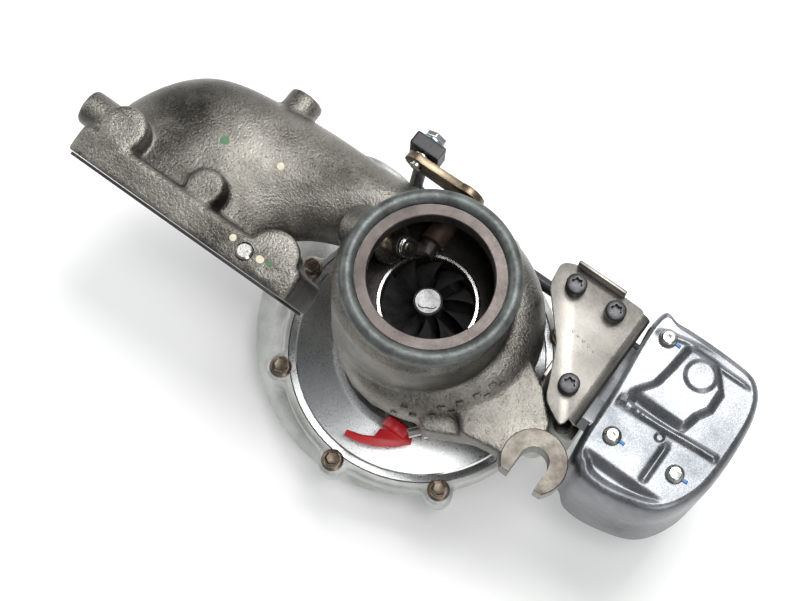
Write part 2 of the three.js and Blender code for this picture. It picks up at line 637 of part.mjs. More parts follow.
function eyePlate(x0, z0, x1, z1, big, small, y0, y1) {
  const web = upright([[x0, z0 - big + 1], [x0, z0 + big - 1], [x1, z1 + small - 1],
    [x1, z1 - small + 1]], y0, y1);
  return joined(web, bar([x0, y0, z0], [x0, y1, z0], big, 14),
    bar([x1, y0, z1], [x1, y1, z1], small, 12));
}

function wastegateCrank() {
  const plate = eyePlate(GATE_AXIS.x, GATE_AXIS.z, PIN_X, PIN_Z, 8, 6.5, 49, 52.5);
  return cut(plate,
    bar([GATE_AXIS.x, 48, GATE_AXIS.z], [GATE_AXIS.x, 54, GATE_AXIS.z], 4 + GAP + 0.1, 12),
    bar([PIN_X, 48, PIN_Z], [PIN_X, 54, PIN_Z], 3 + GAP + 0.1, 10));
}

function crankPin() {
  return joined(bar([PIN_X, 47.4, PIN_Z], [PIN_X, 66.5, PIN_Z], 3, 10),
    bar([PIN_X, 52.8, PIN_Z], [PIN_X, 54, PIN_Z], 5, 12));
}

// Bent link from the crank pin down beside the scroll and across to the actuator lever.
function linkRod() {
  const y = 58;
  const knee = [PIN_X - 5, y, LEVER_PIN_Z + 10];
  const upper = bar([PIN_X - 1, y, PIN_Z], knee, 3.6, 8);
  const elbow = bar(knee, [PIN_X + 6, y, LEVER_PIN_Z], 3.6, 8);
  const lower = bar([PIN_X + 5, y, LEVER_PIN_Z], [LEVER_PIN_X, y, LEVER_PIN_Z], 3.6, 8);
  const head = block([PIN_X - 8, 54.4, PIN_Z - 7], [PIN_X + 8, 61.6, PIN_Z + 7]);
  const eye = bar([LEVER_PIN_X, 54.4, LEVER_PIN_Z], [LEVER_PIN_X, 61.6, LEVER_PIN_Z], 7, 12);
  return cut(joined(upper, elbow, lower, head, eye),
    bar([PIN_X, 50, PIN_Z], [PIN_X, 66, PIN_Z], 3.7, 10),
    bar([LEVER_PIN_X, 50, LEVER_PIN_Z], [LEVER_PIN_X, 66, LEVER_PIN_Z], 3.5, 10));
}

// ---- actuator -----------------------------------------------------------------------
function actuatorLever() {
  const plate = eyePlate(LEVER_AXIS.x, LEVER_AXIS.z, LEVER_PIN_X, LEVER_PIN_Z, 9, 6.5, 49.6, 53);
  const hub = bar([LEVER_AXIS.x, 26.5, LEVER_AXIS.z], [LEVER_AXIS.x, 51, LEVER_AXIS.z], 4.5, 12);
  const pin = bar([LEVER_PIN_X, 50, LEVER_PIN_Z], [LEVER_PIN_X, 63, LEVER_PIN_Z], 3, 10);
  return joined(plate, hub, pin);
}

// Spur gear in the XZ plane with slightly thinned straight-flanked teeth.
function gear(x, z, teeth, y0, y1, bore, phase, span = teeth) {
  const pitch = (MODULE * teeth) / 2;
  const points = [];
  const spread = [[-0.34, -1.05], [-0.12, 0.8], [0.12, 0.8], [0.34, -1.05]];
  for (let i = 0; i < span; i += 1) {
    for (const [share, height] of spread) {
      const a = phase + ((i + share) * 2 * Math.PI) / teeth;
      const r = pitch + height * MODULE;
      points.push([x + r * Math.cos(a), z + r * Math.sin(a)]);
    }
  }
  if (span < teeth) {
    const last = phase + ((span - 0.5) * 2 * Math.PI) / teeth;
    points.push([x + 8 * Math.cos(last + 0.5), z + 8 * Math.sin(last + 0.5)]);
    points.push([x + 8 * Math.cos(last + 2), z + 8 * Math.sin(last + 2)]);
    points.push([x + 8 * Math.cos(phase - 0.9), z + 8 * Math.sin(phase - 0.9)]);
  }
  return upright(points, y0, y1, [[x, z, bore]], 6);
}

const MID_GEAR = {
  x: LEVER_AXIS.x + 26.7,
  z: LEVER_AXIS.z + Math.sqrt(((SECTOR_TEETH + PINION_TEETH) * MODULE / 2 + MESH_SLACK) ** 2
    - 26.7 ** 2),
};
const MOTOR = {
  x: MID_GEAR.x + 16.5,
  z: MID_GEAR.z - Math.sqrt(((WHEEL_TEETH + PINION_TEETH) * MODULE / 2 + MESH_SLACK) ** 2
    - 16.5 ** 2),
};

function bearingOf(from, to) {
  return Math.atan2(to.z - from.z, to.x - from.x);
}

function outputGear() {
  const towards = bearingOf(LEVER_AXIS, MID_GEAR);
  const step = (2 * Math.PI) / SECTOR_TEETH;
  return gear(LEVER_AXIS.x, LEVER_AXIS.z, SECTOR_TEETH, 30, 36, 4.5 + GAP, towards - 3.5 * step, 10);
}

function intermediateGear() {
  const pinion = gear(MID_GEAR.x, MID_GEAR.z, PINION_TEETH, 29.5, 38.5, 2.3,
    bearingOf(MID_GEAR, LEVER_AXIS));
  const wheel = gear(MID_GEAR.x, MID_GEAR.z, WHEEL_TEETH, 38, 42.5, 2.3,
    bearingOf(MID_GEAR, MOTOR));
  return joined(pinion, wheel);
}

function motorRotor() {
  const half = Math.PI / PINION_TEETH;
  const pinion = gear(MOTOR.x, MOTOR.z, PINION_TEETH, 37, 44, 0.8, bearingOf(MOTOR, MID_GEAR) + half);
  const spindle = bar([MOTOR.x, -10, MOTOR.z], [MOTOR.x, 44, MOTOR.z], 2, 10);
  const armature = bar([MOTOR.x, -6, MOTOR.z], [MOTOR.x, 18, MOTOR.z], 10, 16);
  return joined(pinion, spindle, armature);
}

function motorCan() {
  const can = bar([MOTOR.x, MOTOR_END_Y, MOTOR.z], [MOTOR.x, 25, MOTOR.z], 16, 20);
  const room = bar([MOTOR.x, MOTOR_END_Y + 3, MOTOR.z], [MOTOR.x, 22, MOTOR.z], 13.5, 16);
  const exit = bar([MOTOR.x, 20, MOTOR.z], [MOTOR.x, 27, MOTOR.z], 4, 12);
  return cut(can, room, exit);
}

function gearRoomOutline(o) {
  return [[58 - o, 72 - o], [68 - o, 60 - o], [86, 56 - o], [140 + o, 56 - o], [146 + o, 62 - o],
    [146 + o, 106 + o], [138 + o, 114 + o], [66 - o, 114 + o], [58 - o, 106 + o]];
}

function post(x, y, z0, z1, holeR = 0) {
  const column = turned([[0, z0], [4, z0], [4, z1], [0, z1]], 12, x, y);
  const hole = turned([[0, z1 - 12], [holeR, z1 - 12], [holeR, z1 + 1], [0, z1 + 1]], 8, x, y);
  return [column, hole];
}

function actuatorHousing() {
  const shell = upright(gearRoomOutline(0), 26, 46);
  const room = upright(gearRoomOutline(-3), 29, 47);
  const motorSleeve = bar([MOTOR.x, -4, MOTOR.z], [MOTOR.x, 27, MOTOR.z], 20, 24);
  const motorRoom = bar([MOTOR.x, -5, MOTOR.z], [MOTOR.x, 25.3, MOTOR.z], 16 + GAP, 24);
  const spindleHole = bar([MOTOR.x, 20, MOTOR.z], [MOTOR.x, 30, MOTOR.z], 5, 12);
  const axle = bar([MID_GEAR.x, 27, MID_GEAR.z], [MID_GEAR.x, 44, MID_GEAR.z], 2, 12);
  const outBearing = bar([LEVER_AXIS.x, 25, LEVER_AXIS.z], [LEVER_AXIS.x, 30, LEVER_AXIS.z],
    4.5 + GAP, 16);
  const arm = block([67, 2, 118], [104, 14, 123]);
  const web = block([84, 4, 96], [104, 27, 120]);
  const rearEar = block([64, 26, 108], [78, 46, 127]);
  const frontEar = block([42, 43, 118], [78, 55, 127]);
  const plateEar = block([67, 2, 118], [79, 14, 127.7]);
  const posts = SHIELD_SCREWS.slice(0, 2).map(([x, y], i) => post(x, y, i ? 84 : 112, POST_TOP, 1.9));
  const screwHoles = BRACKET_SCREWS.map(([x, y]) => turned(
    [[0, 113], [2.9, 113], [2.9, 130], [0, 130]], 8, x, y));
  const outer = joined(shell, motorSleeve, arm, web, rearEar, frontEar, plateEar,
    ...posts.map(([column]) => column));
  return joined(cut(outer, room, motorRoom, spindleHole, outBearing, ...screwHoles,
    ...posts.map(([, hole]) => hole)), axle);
}

function actuatorCover() {
  const lid = upright(gearRoomOutline(0), 46.3, 49);
  const raised = upright(rounded(92, 62, 138, 106, 6, 2), 48.5, 60);
  const plug = block([112, 47, 46], [132, 61, 64]);
  const socket = block([115, 50, 45], [129, 60, 60]);
  const room = upright(rounded(95, 65, 135, 103, 5, 2), 46, 57);
  const hubHole = bar([LEVER_AXIS.x, 44, LEVER_AXIS.z], [LEVER_AXIS.x, 50, LEVER_AXIS.z], 7.5, 16);
  const [x, y] = SHIELD_SCREWS[2];
  const [column, hole] = post(x, y, 98, POST_TOP, 1.9);
  return cut(joined(cut(joined(lid, raised, plug), room), column), socket, hubHole, hole);
}

function actuatorBracket() {
  const outline = [[38.5, 43.5], [36.9, 55.6], [44, 59.2], [84.4, 58.4], [85, -6], [79, -9],
    [68, -3], [57, 22]];
  const holes = BRACKET_SCREWS.map(([x, y]) => [x, y, 3.3]);
  const plate = flat(outline, 128, 130, holes, 8);
  const lip = block([44, 57.6, 128], [70, 59.6, 136]);
  const leg = block([60, 6, 66], [62.5, 22, 129]);
  const foot = flat([[60, 5], [86, 5], [86, 23.5], [60, 23.5]], 64, 66.5,
    FOOT_SCREW_Y.map((y) => [FOOT_SCREW_X, y, 3.4]), 8);
  return joined(plate, lip, leg, foot);
}

// ---- heat shield --------------------------------------------------------------------
const SHIELD_OUTLINE = [[86.5, 60], [98, 66], [130, 66], [143, 62], [150, 48], [152, 22],
  [149, 0], [138, -17], [119, -24], [104, -25], [96.5, -21], [90, -8]];
const SHIELD_MIDDLE = [118, 22];
const DOME_CENTRE = [116, 40];

function shieldLevel([inset, z]) {
  const [cx, cy] = SHIELD_MIDDLE;
  return SHIELD_OUTLINE.map(([x, y]) => {
    const scale = 1 - inset / Math.hypot(x - cx, y - cy);
    return new THREE.Vector3(cx + (x - cx) * scale, cy + (y - cy) * scale, z);
  });
}

// Closed body through the shield's outline at several insets and heights.
function shieldForm(levels) {
  const rings = levels.map(shieldLevel);
  const count = SHIELD_OUTLINE.length;
  const faces = [];
  for (let k = 0; k + 1 < rings.length; k += 1) {
    for (let i = 0; i < count; i += 1) {
      const a = k * count + i;
      const b = k * count + ((i + 1) % count);
      faces.push(a, b, b + count, a, b + count, a + count);
    }
  }
  const top = (rings.length - 1) * count;
  for (let i = 1; i + 1 < count; i += 1) {
    faces.push(0, i + 1, i);
    faces.push(top, top + i, top + i + 1);
  }
  const geometry = new THREE.BufferGeometry().setFromPoints(rings.flat());
  geometry.setIndex(faces);
  return solid(geometry);
}

function heatShield() {
  const outer = shieldForm([[0, 64], [0, 116], [1.5, 123], [5, SHIELD_TOP]]);
  const inner = shieldForm([[1.3, 62], [1.3, 115.8], [2.8, 122.3], [6, SHIELD_TOP - 1.6]]);
  const dome = turned([[0, 124], [18.5, SHIELD_TOP - 1], [12, 136.5], [0, 137.5]], 16, ...DOME_CENTRE);
  const domeRoom = turned([[0, 120], [17, SHIELD_TOP - 2.2], [11, 135.3], [0, 136.2]], 16, ...DOME_CENTRE);
  const openSide = block([80, 1, 50], [95.5, 56, 127.2]);
  const holes = SHIELD_SCREWS.map(([x, y]) => turned(
    [[0, 120], [2.3, 120], [2.3, 140], [0, 140]], 8, x, y));
  return cut(joined(outer, dome), inner, domeRoom, openSide, ...holes);
}

// ---- assembly -----------------------------------------------------------------------
mesh('turbine_housing', turbineHousing(), ...CAST_STEEL);
mesh('manifold_gasket', manifoldGasket(), '#17181a', 0.7, 0.2);
mesh('flange_pin', flangePin(), ...BRIGHT_STEEL);
mesh('turbine_wheel', turbineWheel(), ...DARK_STEEL);
mesh('turbine_heat_shield', turbineHeatShield(), ...DARK_STEEL);
mesh('rotor_shaft', rotorShaft(), ...BRIGHT_STEEL);
mesh('turbine_seal_ring', ringAt(7.9, 8.75, 88.7, 89.7), ...DARK_STEEL);
mesh('thrust_collar', thrustCollar(), ...BRIGHT_STEEL);
mesh('compressor_seal_ring', ringAt(6.1, 8.7, 54.2, 55.4), ...DARK_STEEL);
mesh('shaft_nut', shaftNut(), ...BRIGHT_STEEL);
mesh('thrust_bearing', ringAt(5, 20, 62.1, 65.5), '#a98243', 0.35, 0.9);
mesh('centre_housing', centreHousing(), '#5b5a57', 0.7, 0.6);
mesh('journal_bearing', journalBearing(), '#a98243', 0.35, 0.9);
mesh('oil_port_plug', oilPortPlug(), '#c0202c', 0.45, 0);
mesh('clamp_band', clampBand(), ...BRIGHT_STEEL);
mesh('clamp_bolt', clampBolt(), ...BRIGHT_STEEL);
mesh('clamp_nut', clampNut(), '#b49a55', 0.4, 0.9);
mesh('back_plate', backPlate(), ...TURNED_ALUMINIUM);
mesh('compressor_wheel', compressorWheel(), ...TURNED_ALUMINIUM);
mesh('compressor_housing', compressorHousing(), ...CAST_ALUMINIUM);
boltAngles().forEach((a, i) => {
  const bolt = flangeBolt(BOLT_CIRCLE_R * Math.cos(a), BOLT_CIRCLE_R * Math.sin(a),
    PLATE_TOP + GAP + 0.2, 12, 2.5, 7, 5.7, 5.2);
  mesh(`plate_bolt_${i + 1}`, bolt, '#9b958c', 0.4, 0.9);
});
mesh('wastegate_arm', wastegateArm(), ...DARK_STEEL);
mesh('wastegate_valve', wastegateValve(), ...BRIGHT_STEEL);
mesh('valve_washer', valveWasher(), ...BRIGHT_STEEL);
mesh('wastegate_bush', yRing(GATE_AXIS.x, GATE_AXIS.z, 22.5, 47.5, 6, 4.2), ...DARK_STEEL);
mesh('wastegate_crank', wastegateCrank(), '#8d8475', 0.5, 0.8);
mesh('crank_pin', crankPin(), ...BRIGHT_STEEL);
mesh('link_rod', linkRod(), ...BLACK_PLASTIC);
mesh('link_washer', yRing(PIN_X, PIN_Z, 61.9, 63.1, 6.2, 3.3), '#8fa3b5', 0.3, 0.9);
mesh('link_nut', yRing(PIN_X, PIN_Z, 63.4, 66.2, 5.6, 3.3, 6), ...BRIGHT_STEEL);
mesh('actuator_lever', actuatorLever(), ...DARK_STEEL);
mesh('output_gear', outputGear(), '#3a3f45', 0.6, 0);
mesh('intermediate_gear', intermediateGear(), '#d8d4c4', 0.5, 0);
mesh('motor_rotor', motorRotor(), ...BRIGHT_STEEL);
mesh('motor_can', motorCan(), ...BRIGHT_STEEL);
mesh('actuator_housing', actuatorHousing(), '#6d7073', 0.6, 0.6);
mesh('actuator_cover', actuatorCover(), ...BLACK_PLASTIC);
mesh('actuator_bracket', actuatorBracket(), '#b0aea6', 0.4, 0.9);
BRACKET_SCREWS.forEach(([x, y], i) => {
  mesh(`bracket_screw_${i + 1}`, socketScrew(x, y, 130.3, 12, 2.6, 5, 6), ...DARK_STEEL);
});
FOOT_SCREW_Y.forEach((y, i) => {
  mesh(`foot_screw_${i + 1}`, socketScrew(FOOT_SCREW_X, y, 66.8, 14, 3, 4.8, 6), ...DARK_STEEL);
});
mesh('heat_shield', heatShield(), '#b3b4b4', 0.35, 0.9);
SHIELD_SCREWS.forEach(([x, y], i) => {
  const seat = SHIELD_TOP + GAP;
  const head = turned([[0, seat], [4.6, seat], [4.6, seat + 1.2], [3, seat + 3], [0, seat + 3.2]], 12, x, y);
  const shank = turned([[0, 118], [1.6, 118], [1.6, seat + 1], [0, seat + 1]], 6, x, y);
  mesh(`shield_screw_${i + 1}`, joined(head, shank), ...BRIGHT_STEEL);
});

assembly.position.set(SHAFT_X, SHAFT_Y, 0);
const turbocharger = new THREE.Group();
turbocharger.add(assembly);

export default turbocharger;
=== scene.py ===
import json
import math

import bmesh
import bpy
from mathutils import Matrix, Vector
from mathutils.bvhtree import BVHTree

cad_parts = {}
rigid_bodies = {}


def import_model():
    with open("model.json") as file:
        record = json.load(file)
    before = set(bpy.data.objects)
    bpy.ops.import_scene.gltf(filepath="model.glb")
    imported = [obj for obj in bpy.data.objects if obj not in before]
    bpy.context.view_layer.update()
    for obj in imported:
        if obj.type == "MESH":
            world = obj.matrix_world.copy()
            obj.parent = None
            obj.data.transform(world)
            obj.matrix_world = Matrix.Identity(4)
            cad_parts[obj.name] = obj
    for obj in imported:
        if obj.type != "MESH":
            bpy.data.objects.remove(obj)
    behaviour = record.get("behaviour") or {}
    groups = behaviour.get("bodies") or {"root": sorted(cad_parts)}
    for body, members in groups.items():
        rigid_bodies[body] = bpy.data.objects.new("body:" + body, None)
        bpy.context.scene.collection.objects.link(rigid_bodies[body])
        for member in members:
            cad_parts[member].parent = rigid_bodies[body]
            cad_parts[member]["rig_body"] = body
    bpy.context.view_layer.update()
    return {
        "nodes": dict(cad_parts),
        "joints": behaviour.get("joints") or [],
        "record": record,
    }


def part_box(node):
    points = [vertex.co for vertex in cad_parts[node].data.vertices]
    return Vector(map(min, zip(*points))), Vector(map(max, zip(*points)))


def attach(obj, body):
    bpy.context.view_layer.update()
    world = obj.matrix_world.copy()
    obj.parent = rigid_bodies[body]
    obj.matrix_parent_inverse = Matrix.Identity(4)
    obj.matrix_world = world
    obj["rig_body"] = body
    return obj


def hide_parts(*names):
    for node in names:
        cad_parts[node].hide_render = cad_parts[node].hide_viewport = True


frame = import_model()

# ---- Bench, light and view -----------------------------------------------------------------
# The turbocharger stands on its compressor inlet on a plain pale bench top. Large soft boxes
# hang over it, and a long lens looks down on the turbine outlet from the front right.
joints = {joint["name"]: joint for joint in frame["joints"]}
shaft = Vector(joints["rotor_spin"]["pos_m"])
shaft.z = 0
outlet_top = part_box("turbine_housing")[1].z

VIEW_DISTANCE = 0.75
aim = shaft + Vector((-0.0038, -0.0178, outlet_top))
azimuth, elevation, roll = (math.radians(angle) for angle in (31.59, 72.2, 4.6))
back = Vector((math.sin(azimuth) * math.cos(elevation), -math.cos(azimuth) * math.cos(elevation),
               math.sin(elevation)))
level = Vector((math.cos(azimuth), math.sin(azimuth), 0))
climb = back.cross(level)
right = level * math.cos(roll) + climb * math.sin(roll)
up = climb * math.cos(roll) - level * math.sin(roll)

camera = bpy.data.objects.new("camera", bpy.data.cameras.new("camera"))
camera.data.lens = 78.9
camera.data.sensor_width = 36
view_turn = Matrix((right, up, back)).transposed().to_4x4()
camera.matrix_world = Matrix.Translation(aim + back * VIEW_DISTANCE) @ view_turn
bpy.context.scene.collection.objects.link(camera)
bpy.context.scene.camera = camera


def tint(code):
    """An sRGB hex colour as linear light."""
    parts = [int(code[i:i + 2], 16) / 255 for i in (1, 3, 5)]
    return [c / 12.92 if c < 0.04045 else ((c + 0.055) / 1.055) ** 2.4 for c in parts] + [1.0]


def add_node(tree, kind, settings=None, links=None):
    """Adds a node, sets its sockets and properties by name and joins its sockets to others."""
    node = tree.nodes.new(kind)
    for key, value in (settings or {}).items():
        if isinstance(key, int) or key in node.inputs:
            node.inputs[key].default_value = value
        else:
            setattr(node, key, value)
    for key, socket in (links or {}).items():
        tree.links.new(socket, node.inputs[key])
    return node


def soft_box(name, place, size, power):
    """A square lamp that faces the middle of the part."""
    lamp = bpy.data.lights.new(name, "AREA")
    lamp.size = size
    lamp.energy = power
    stand = bpy.data.objects.new(name, lamp)
    stand.location = place
    stand.rotation_euler = (Vector((0, 0, 0.1)) - Vector(place)).to_track_quat("-Z", "Y").to_euler()
    bpy.context.scene.collection.objects.link(stand)


soft_box("overhead_box", (0.02, 0.28, 0.95), 0.4, 8)
soft_box("bore_box", (0.24, -0.12, 1.05), 0.22, 2.6)
soft_box("left_box", (-0.85, -0.15, 0.55), 0.45, 3.2)
soft_box("right_box", (0.85, -0.45, 0.55), 0.45, 3.2)
soft_box("rear_box", (-0.1, 0.95, 0.45), 0.6, 3.2)

world = bpy.data.worlds.new("studio")
world.use_nodes = True
world.node_tree.nodes["Background"].inputs["Color"].default_value = tint("#e9ebee")
world.node_tree.nodes["Background"].inputs["Strength"].default_value = 0.42
bpy.context.scene.world = world
bpy.context.scene.view_settings.view_transform = "Standard"

bench = bmesh.new()
bmesh.ops.create_grid(bench, x_segments=1, y_segments=1, size=4)
bench_mesh = bpy.data.meshes.new("bench")
bench.to_mesh(bench_mesh)
bench.free()
bench_top = bpy.data.objects.new("bench", bench_mesh)
bpy.context.scene.collection.objects.link(bench_top)
bench_paint = bpy.data.materials.new("pale_bench_paint")
bench_paint.use_nodes = True
bench_paint.node_tree.nodes["Principled BSDF"].inputs["Base Color"].default_value = tint("#f4f4f3")
bench_paint.node_tree.nodes["Principled BSDF"].inputs["Roughness"].default_value = 0.7
bench_mesh.materials.append(bench_paint)

# ---- Turbine housing -----------------------------------------------------------------------
# One investment casting in heat-resistant stainless steel: scroll, outlet chamber, manifold
# elbow with its long flange, stub, boss and open fork. Cast skin all over, shot blasted, and
# only the outlet lip, the flange face, the fork and the pads are machined.
PLACE = Matrix.Translation(shaft) @ Matrix.Scale(0.001, 4)  # drawn in mm from the shaft's foot
Y, Z = Vector((0, 1, 0)), Vector((0, 0, 1))


def corners(node):
    """A CAD node's lowest and highest corners in mm from the shaft's foot."""
    return [(corner - shaft) * 1000 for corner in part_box(node)]


def finish(name, bm, materials, node, sharp=32, stands=True):
    """Puts a shape drawn in mm in its place as a finished piece of a CAD node."""
    bmesh.ops.transform(bm, matrix=PLACE, verts=bm.verts)
    mesh = bpy.data.meshes.new(name)
    bm.to_mesh(mesh)
    bm.free()
    mesh.shade_smooth()
    mesh.set_sharp_from_angle(angle=math.radians(sharp))
    for material in materials:
        mesh.materials.append(material)
    piece = bpy.data.objects.new(name, mesh)
    bpy.context.scene.collection.objects.link(piece)
    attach(piece, frame["nodes"][node]["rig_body"])
    if stands:
        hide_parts(node)
    return piece


def newest(bm, old):
    """The vertices of bm that aren't among the old ones."""
    return [vert for vert in bm.verts if vert not in old]


def outward(bm, verts):
    """Turns the faces of some vertices outwards and gives the vertices back."""
    faces = list({face for vert in verts for face in vert.link_faces})
    bmesh.ops.recalc_face_normals(bm, faces=faces)
    return verts


def lathe(bm, profile, sides=96, centre=(0, 0)):
    """Spins [radius, height] points round a vertical line; a profile off the line closes."""
    old = set(bm.verts)
    line = [bm.verts.new((centre[0] + r, centre[1], z)) for r, z in profile]
    pairs = list(zip(line, line[1:]))
    if profile[0][0] > 0 or profile[-1][0] > 0:
        pairs.append((line[-1], line[0]))
    edges = [bm.edges.new(pair) for pair in pairs]
    bmesh.ops.spin(bm, geom=line + edges, cent=(*centre, 0), axis=Z, angle=math.tau, steps=sides,
                   use_merge=True)
    bmesh.ops.remove_doubles(bm, verts=newest(bm, old), dist=1e-4)
    return outward(bm, newest(bm, old))


def rod(bm, start, end, radius, sides=48, end_radius=None):
    """A round bar between two points."""
    start, end = Vector(start), Vector(end)
    along = end - start
    turn = along.to_track_quat("Z", "Y").to_matrix().to_4x4()
    made = bmesh.ops.create_cone(bm, cap_ends=True, segments=sides, radius1=radius, depth=along.length,
                                 radius2=radius if end_radius is None else end_radius,
                                 matrix=Matrix.Translation((start + end) / 2) @ turn)
    return made["verts"]


def prism(bm, outline, low, high):
    """An upright plate from its outline in XY and its two heights."""
    old = set(bm.verts)
    face = bm.faces.new([bm.verts.new((x, y, low)) for x, y in outline])
    raised = bmesh.ops.extrude_face_region(bm, geom=[face])["geom"]
    top = [item for item in raised if isinstance(item, bmesh.types.BMVert)]
    bmesh.ops.translate(bm, vec=(0, 0, high - low), verts=top)
    return outward(bm, newest(bm, old))


def block(bm, low, high):
    """A square-edged block between two corners."""
    low, high = Vector(low), Vector(high)
    size = Matrix.Diagonal((*(high - low), 1))
    return bmesh.ops.create_cube(bm, size=1, matrix=Matrix.Translation((low + high) / 2) @ size)["verts"]


def soften(bm, verts, width, segments=2, angle=30):
    """Rounds the edges of some vertices that are sharper than an angle."""
    edges = {e for v in verts for e in v.link_edges if e.calc_face_angle(0) > math.radians(angle)}
    bmesh.ops.bevel(bm, geom=list(edges), offset=width, offset_type="OFFSET", affect="EDGES",
                    segments=segments, profile=0.5, material=-1, clamp_overlap=True)


def loft(bm, section, steps, sides):
    """A closed tube: a grid rolled into rings, with ring t laid where section(t) says."""
    old = set(bm.verts)
    bmesh.ops.create_grid(bm, x_segments=steps, y_segments=sides, size=0.5)
    for vert in newest(bm, old):
        t, turn = vert.co.x + 0.5, (vert.co.y + 0.5) * math.tau
        centre, side, half, rise = section(t)
        vert.co = centre + side * (half * math.cos(turn)) + Z * (rise * math.sin(turn))
    bmesh.ops.remove_doubles(bm, verts=newest(bm, old), dist=1e-4)
    rims = {e for v in newest(bm, old) for e in v.link_edges if e.is_boundary}
    bmesh.ops.holes_fill(bm, edges=list(rims))
    return outward(bm, newest(bm, old))


def through_modifier(bm, kind, **settings):
    """The shape that one modifier makes of a bmesh, as a new bmesh."""
    mesh = bpy.data.meshes.new("draft")
    bm.to_mesh(mesh)
    bm.free()
    draft = bpy.data.objects.new("draft", mesh)
    bpy.context.scene.collection.objects.link(draft)
    modifier = draft.modifiers.new("step", kind)
    for key, value in settings.items():
        setattr(modifier, key, value)
    made = bmesh.new()
    made.from_object(draft, bpy.context.evaluated_depsgraph_get())
    bpy.data.objects.remove(draft)
    return made


def fuse(bm, grain, rounds):
    """Runs overlapping closed shapes together as a casting does, with a fillet where they meet."""
    made = through_modifier(bm, "REMESH", mode="VOXEL", voxel_size=grain)
    for _ in range(rounds):
        bmesh.ops.smooth_vert(made, verts=made.verts, factor=0.5, use_axis_x=True, use_axis_y=True,
                              use_axis_z=True)
    return made


def carve(bm, *tools):
    """Cuts closed shapes out of a shape, one after another."""
    for tool in tools:
        mesh = bpy.data.meshes.new("tool")
        tool.to_mesh(mesh)
        tool.free()
        cutter = bpy.data.objects.new("tool", mesh)
        bpy.context.scene.collection.objects.link(cutter)
        bm = through_modifier(bm, "BOOLEAN", operation="DIFFERENCE", object=cutter, solver="MANIFOLD")
        bpy.data.objects.remove(cutter)
    return bm


def shape(make, *args, **kwargs):
    """A new bmesh that holds one made shape."""
    bm = bmesh.new()
    make(bm, *args, **kwargs)
    return bm


def between(a, b, t):
    """The value at share t of the way from a to b."""
    return a + (b - a) * t


def ease(t, start, end):
    """0 before start, 1 after end, smooth in between."""
    t = min(1, max(0, (t - start) / (end - start)))
    return t * t * (3 - 2 * t)


def spline(a, b, c, d, s):
    """The point at share s of a smooth curve from b to c, between neighbours a and d."""
    square, cube = (2 * a - 5 * b + 4 * c - d) * s ** 2, (3 * b - a - 3 * c + d) * s ** 3
    return 0.5 * ((2 * b) + (c - a) * s + square + cube)


def curve_through(points, t):
    """The point at share t of a smooth curve through points."""
    place = t * (len(points) - 1)
    i = min(int(place), len(points) - 2)
    a, b, c, d = (Vector(points[min(max(k, 0), len(points) - 1)]) for k in (i - 1, i, i + 1, i + 2))
    return spline(a, b, c, d, place - i)


SCROLL_MIDDLE, SCROLL_INSIDE = 116, 23
OUTLET_BORE = 28.1
CUP_X, CUP_R, CUP_FLOOR = -3, 37, 134
WHEEL_TOP, EXDUCER_R = 140, 20.9
LIP_TOP = corners("turbine_housing")[1].z
FLANGE_LEFT, FLANGE_RIGHT = corners("manifold_gasket")[0].x - 1, corners("manifold_gasket")[1].x + 1
FLANGE_FOOT, FLANGE_TOP = 87, 147  # before the flange leans
flange_mount = next(m for m in frame["record"]["mounts"] if m["name"] == "manifold_flange_face")
flange_axis = Vector(flange_mount["axis"])
face_spot = (Vector(flange_mount["pos_m"]) - shaft) * 1000 - flange_axis * 1.8  # under the gasket
LEAN = math.atan2(-flange_axis.z, -flange_axis.y)
FACE_Y = face_spot.y - (FLANGE_TOP - face_spot.z) * math.tan(LEAN)  # at the top edge
INNER_LINE = [(-80, -33), (-79, -18), (-70, -4), (-52, 6), (-25, 16), (0.5, 23)]
OUTER_LINE = [(-176, -33), (-176, 4), (-152, 37), (-102, 47), (-45, 48.5), (0.5, 56)]


def scroll_section(wall):
    """The turbine scroll, which closes in clockwise as seen from the outlet."""
    def section(t):
        angle = math.radians(90 - 275 * t)
        outside = 56 - 12 * ease(t, 0.25, 0.85)
        side = Vector((math.cos(angle), math.sin(angle), 0))
        centre = side * ((outside + SCROLL_INSIDE) / 2) + Z * SCROLL_MIDDLE
        return centre, side, (outside - SCROLL_INSIDE) / 2 - wall, 19 - 7 * t - wall
    return section


def elbow_section(wall, start):
    """The manifold elbow, which gathers the ports and turns towards the scroll."""
    def section(share):
        t = between(start, 1, share)
        inner, outer = curve_through(INNER_LINE, t), curve_through(OUTER_LINE, t)
        middle, across = (inner + outer) / 2, outer - inner
        rise = 25 - 6 * ease(t, 0.1, 0.8) - wall
        return (Vector((*middle, SCROLL_MIDDLE)), Vector((*across.normalized(), 0)),
                across.length / 2 - wall, rise)
    return section


GATE = Vector(joints["valve_turn"]["pos_m"]) * 1000 - shaft * 1000
STEM = Vector(joints["valve_turn"]["axis"])
GATE_SHAFT = Vector(joints["wastegate_swing"]["pos_m"]) * 1000 - shaft * 1000


def leaned(bm, verts=None):
    """Turns some vertices, or all, with the flange about its top front edge."""
    bmesh.ops.rotate(bm, cent=(0, FACE_Y, FLANGE_TOP), matrix=Matrix.Rotation(LEAN, 3, "X"),
                     verts=list(bm.verts) if verts is None else verts)
    return bm


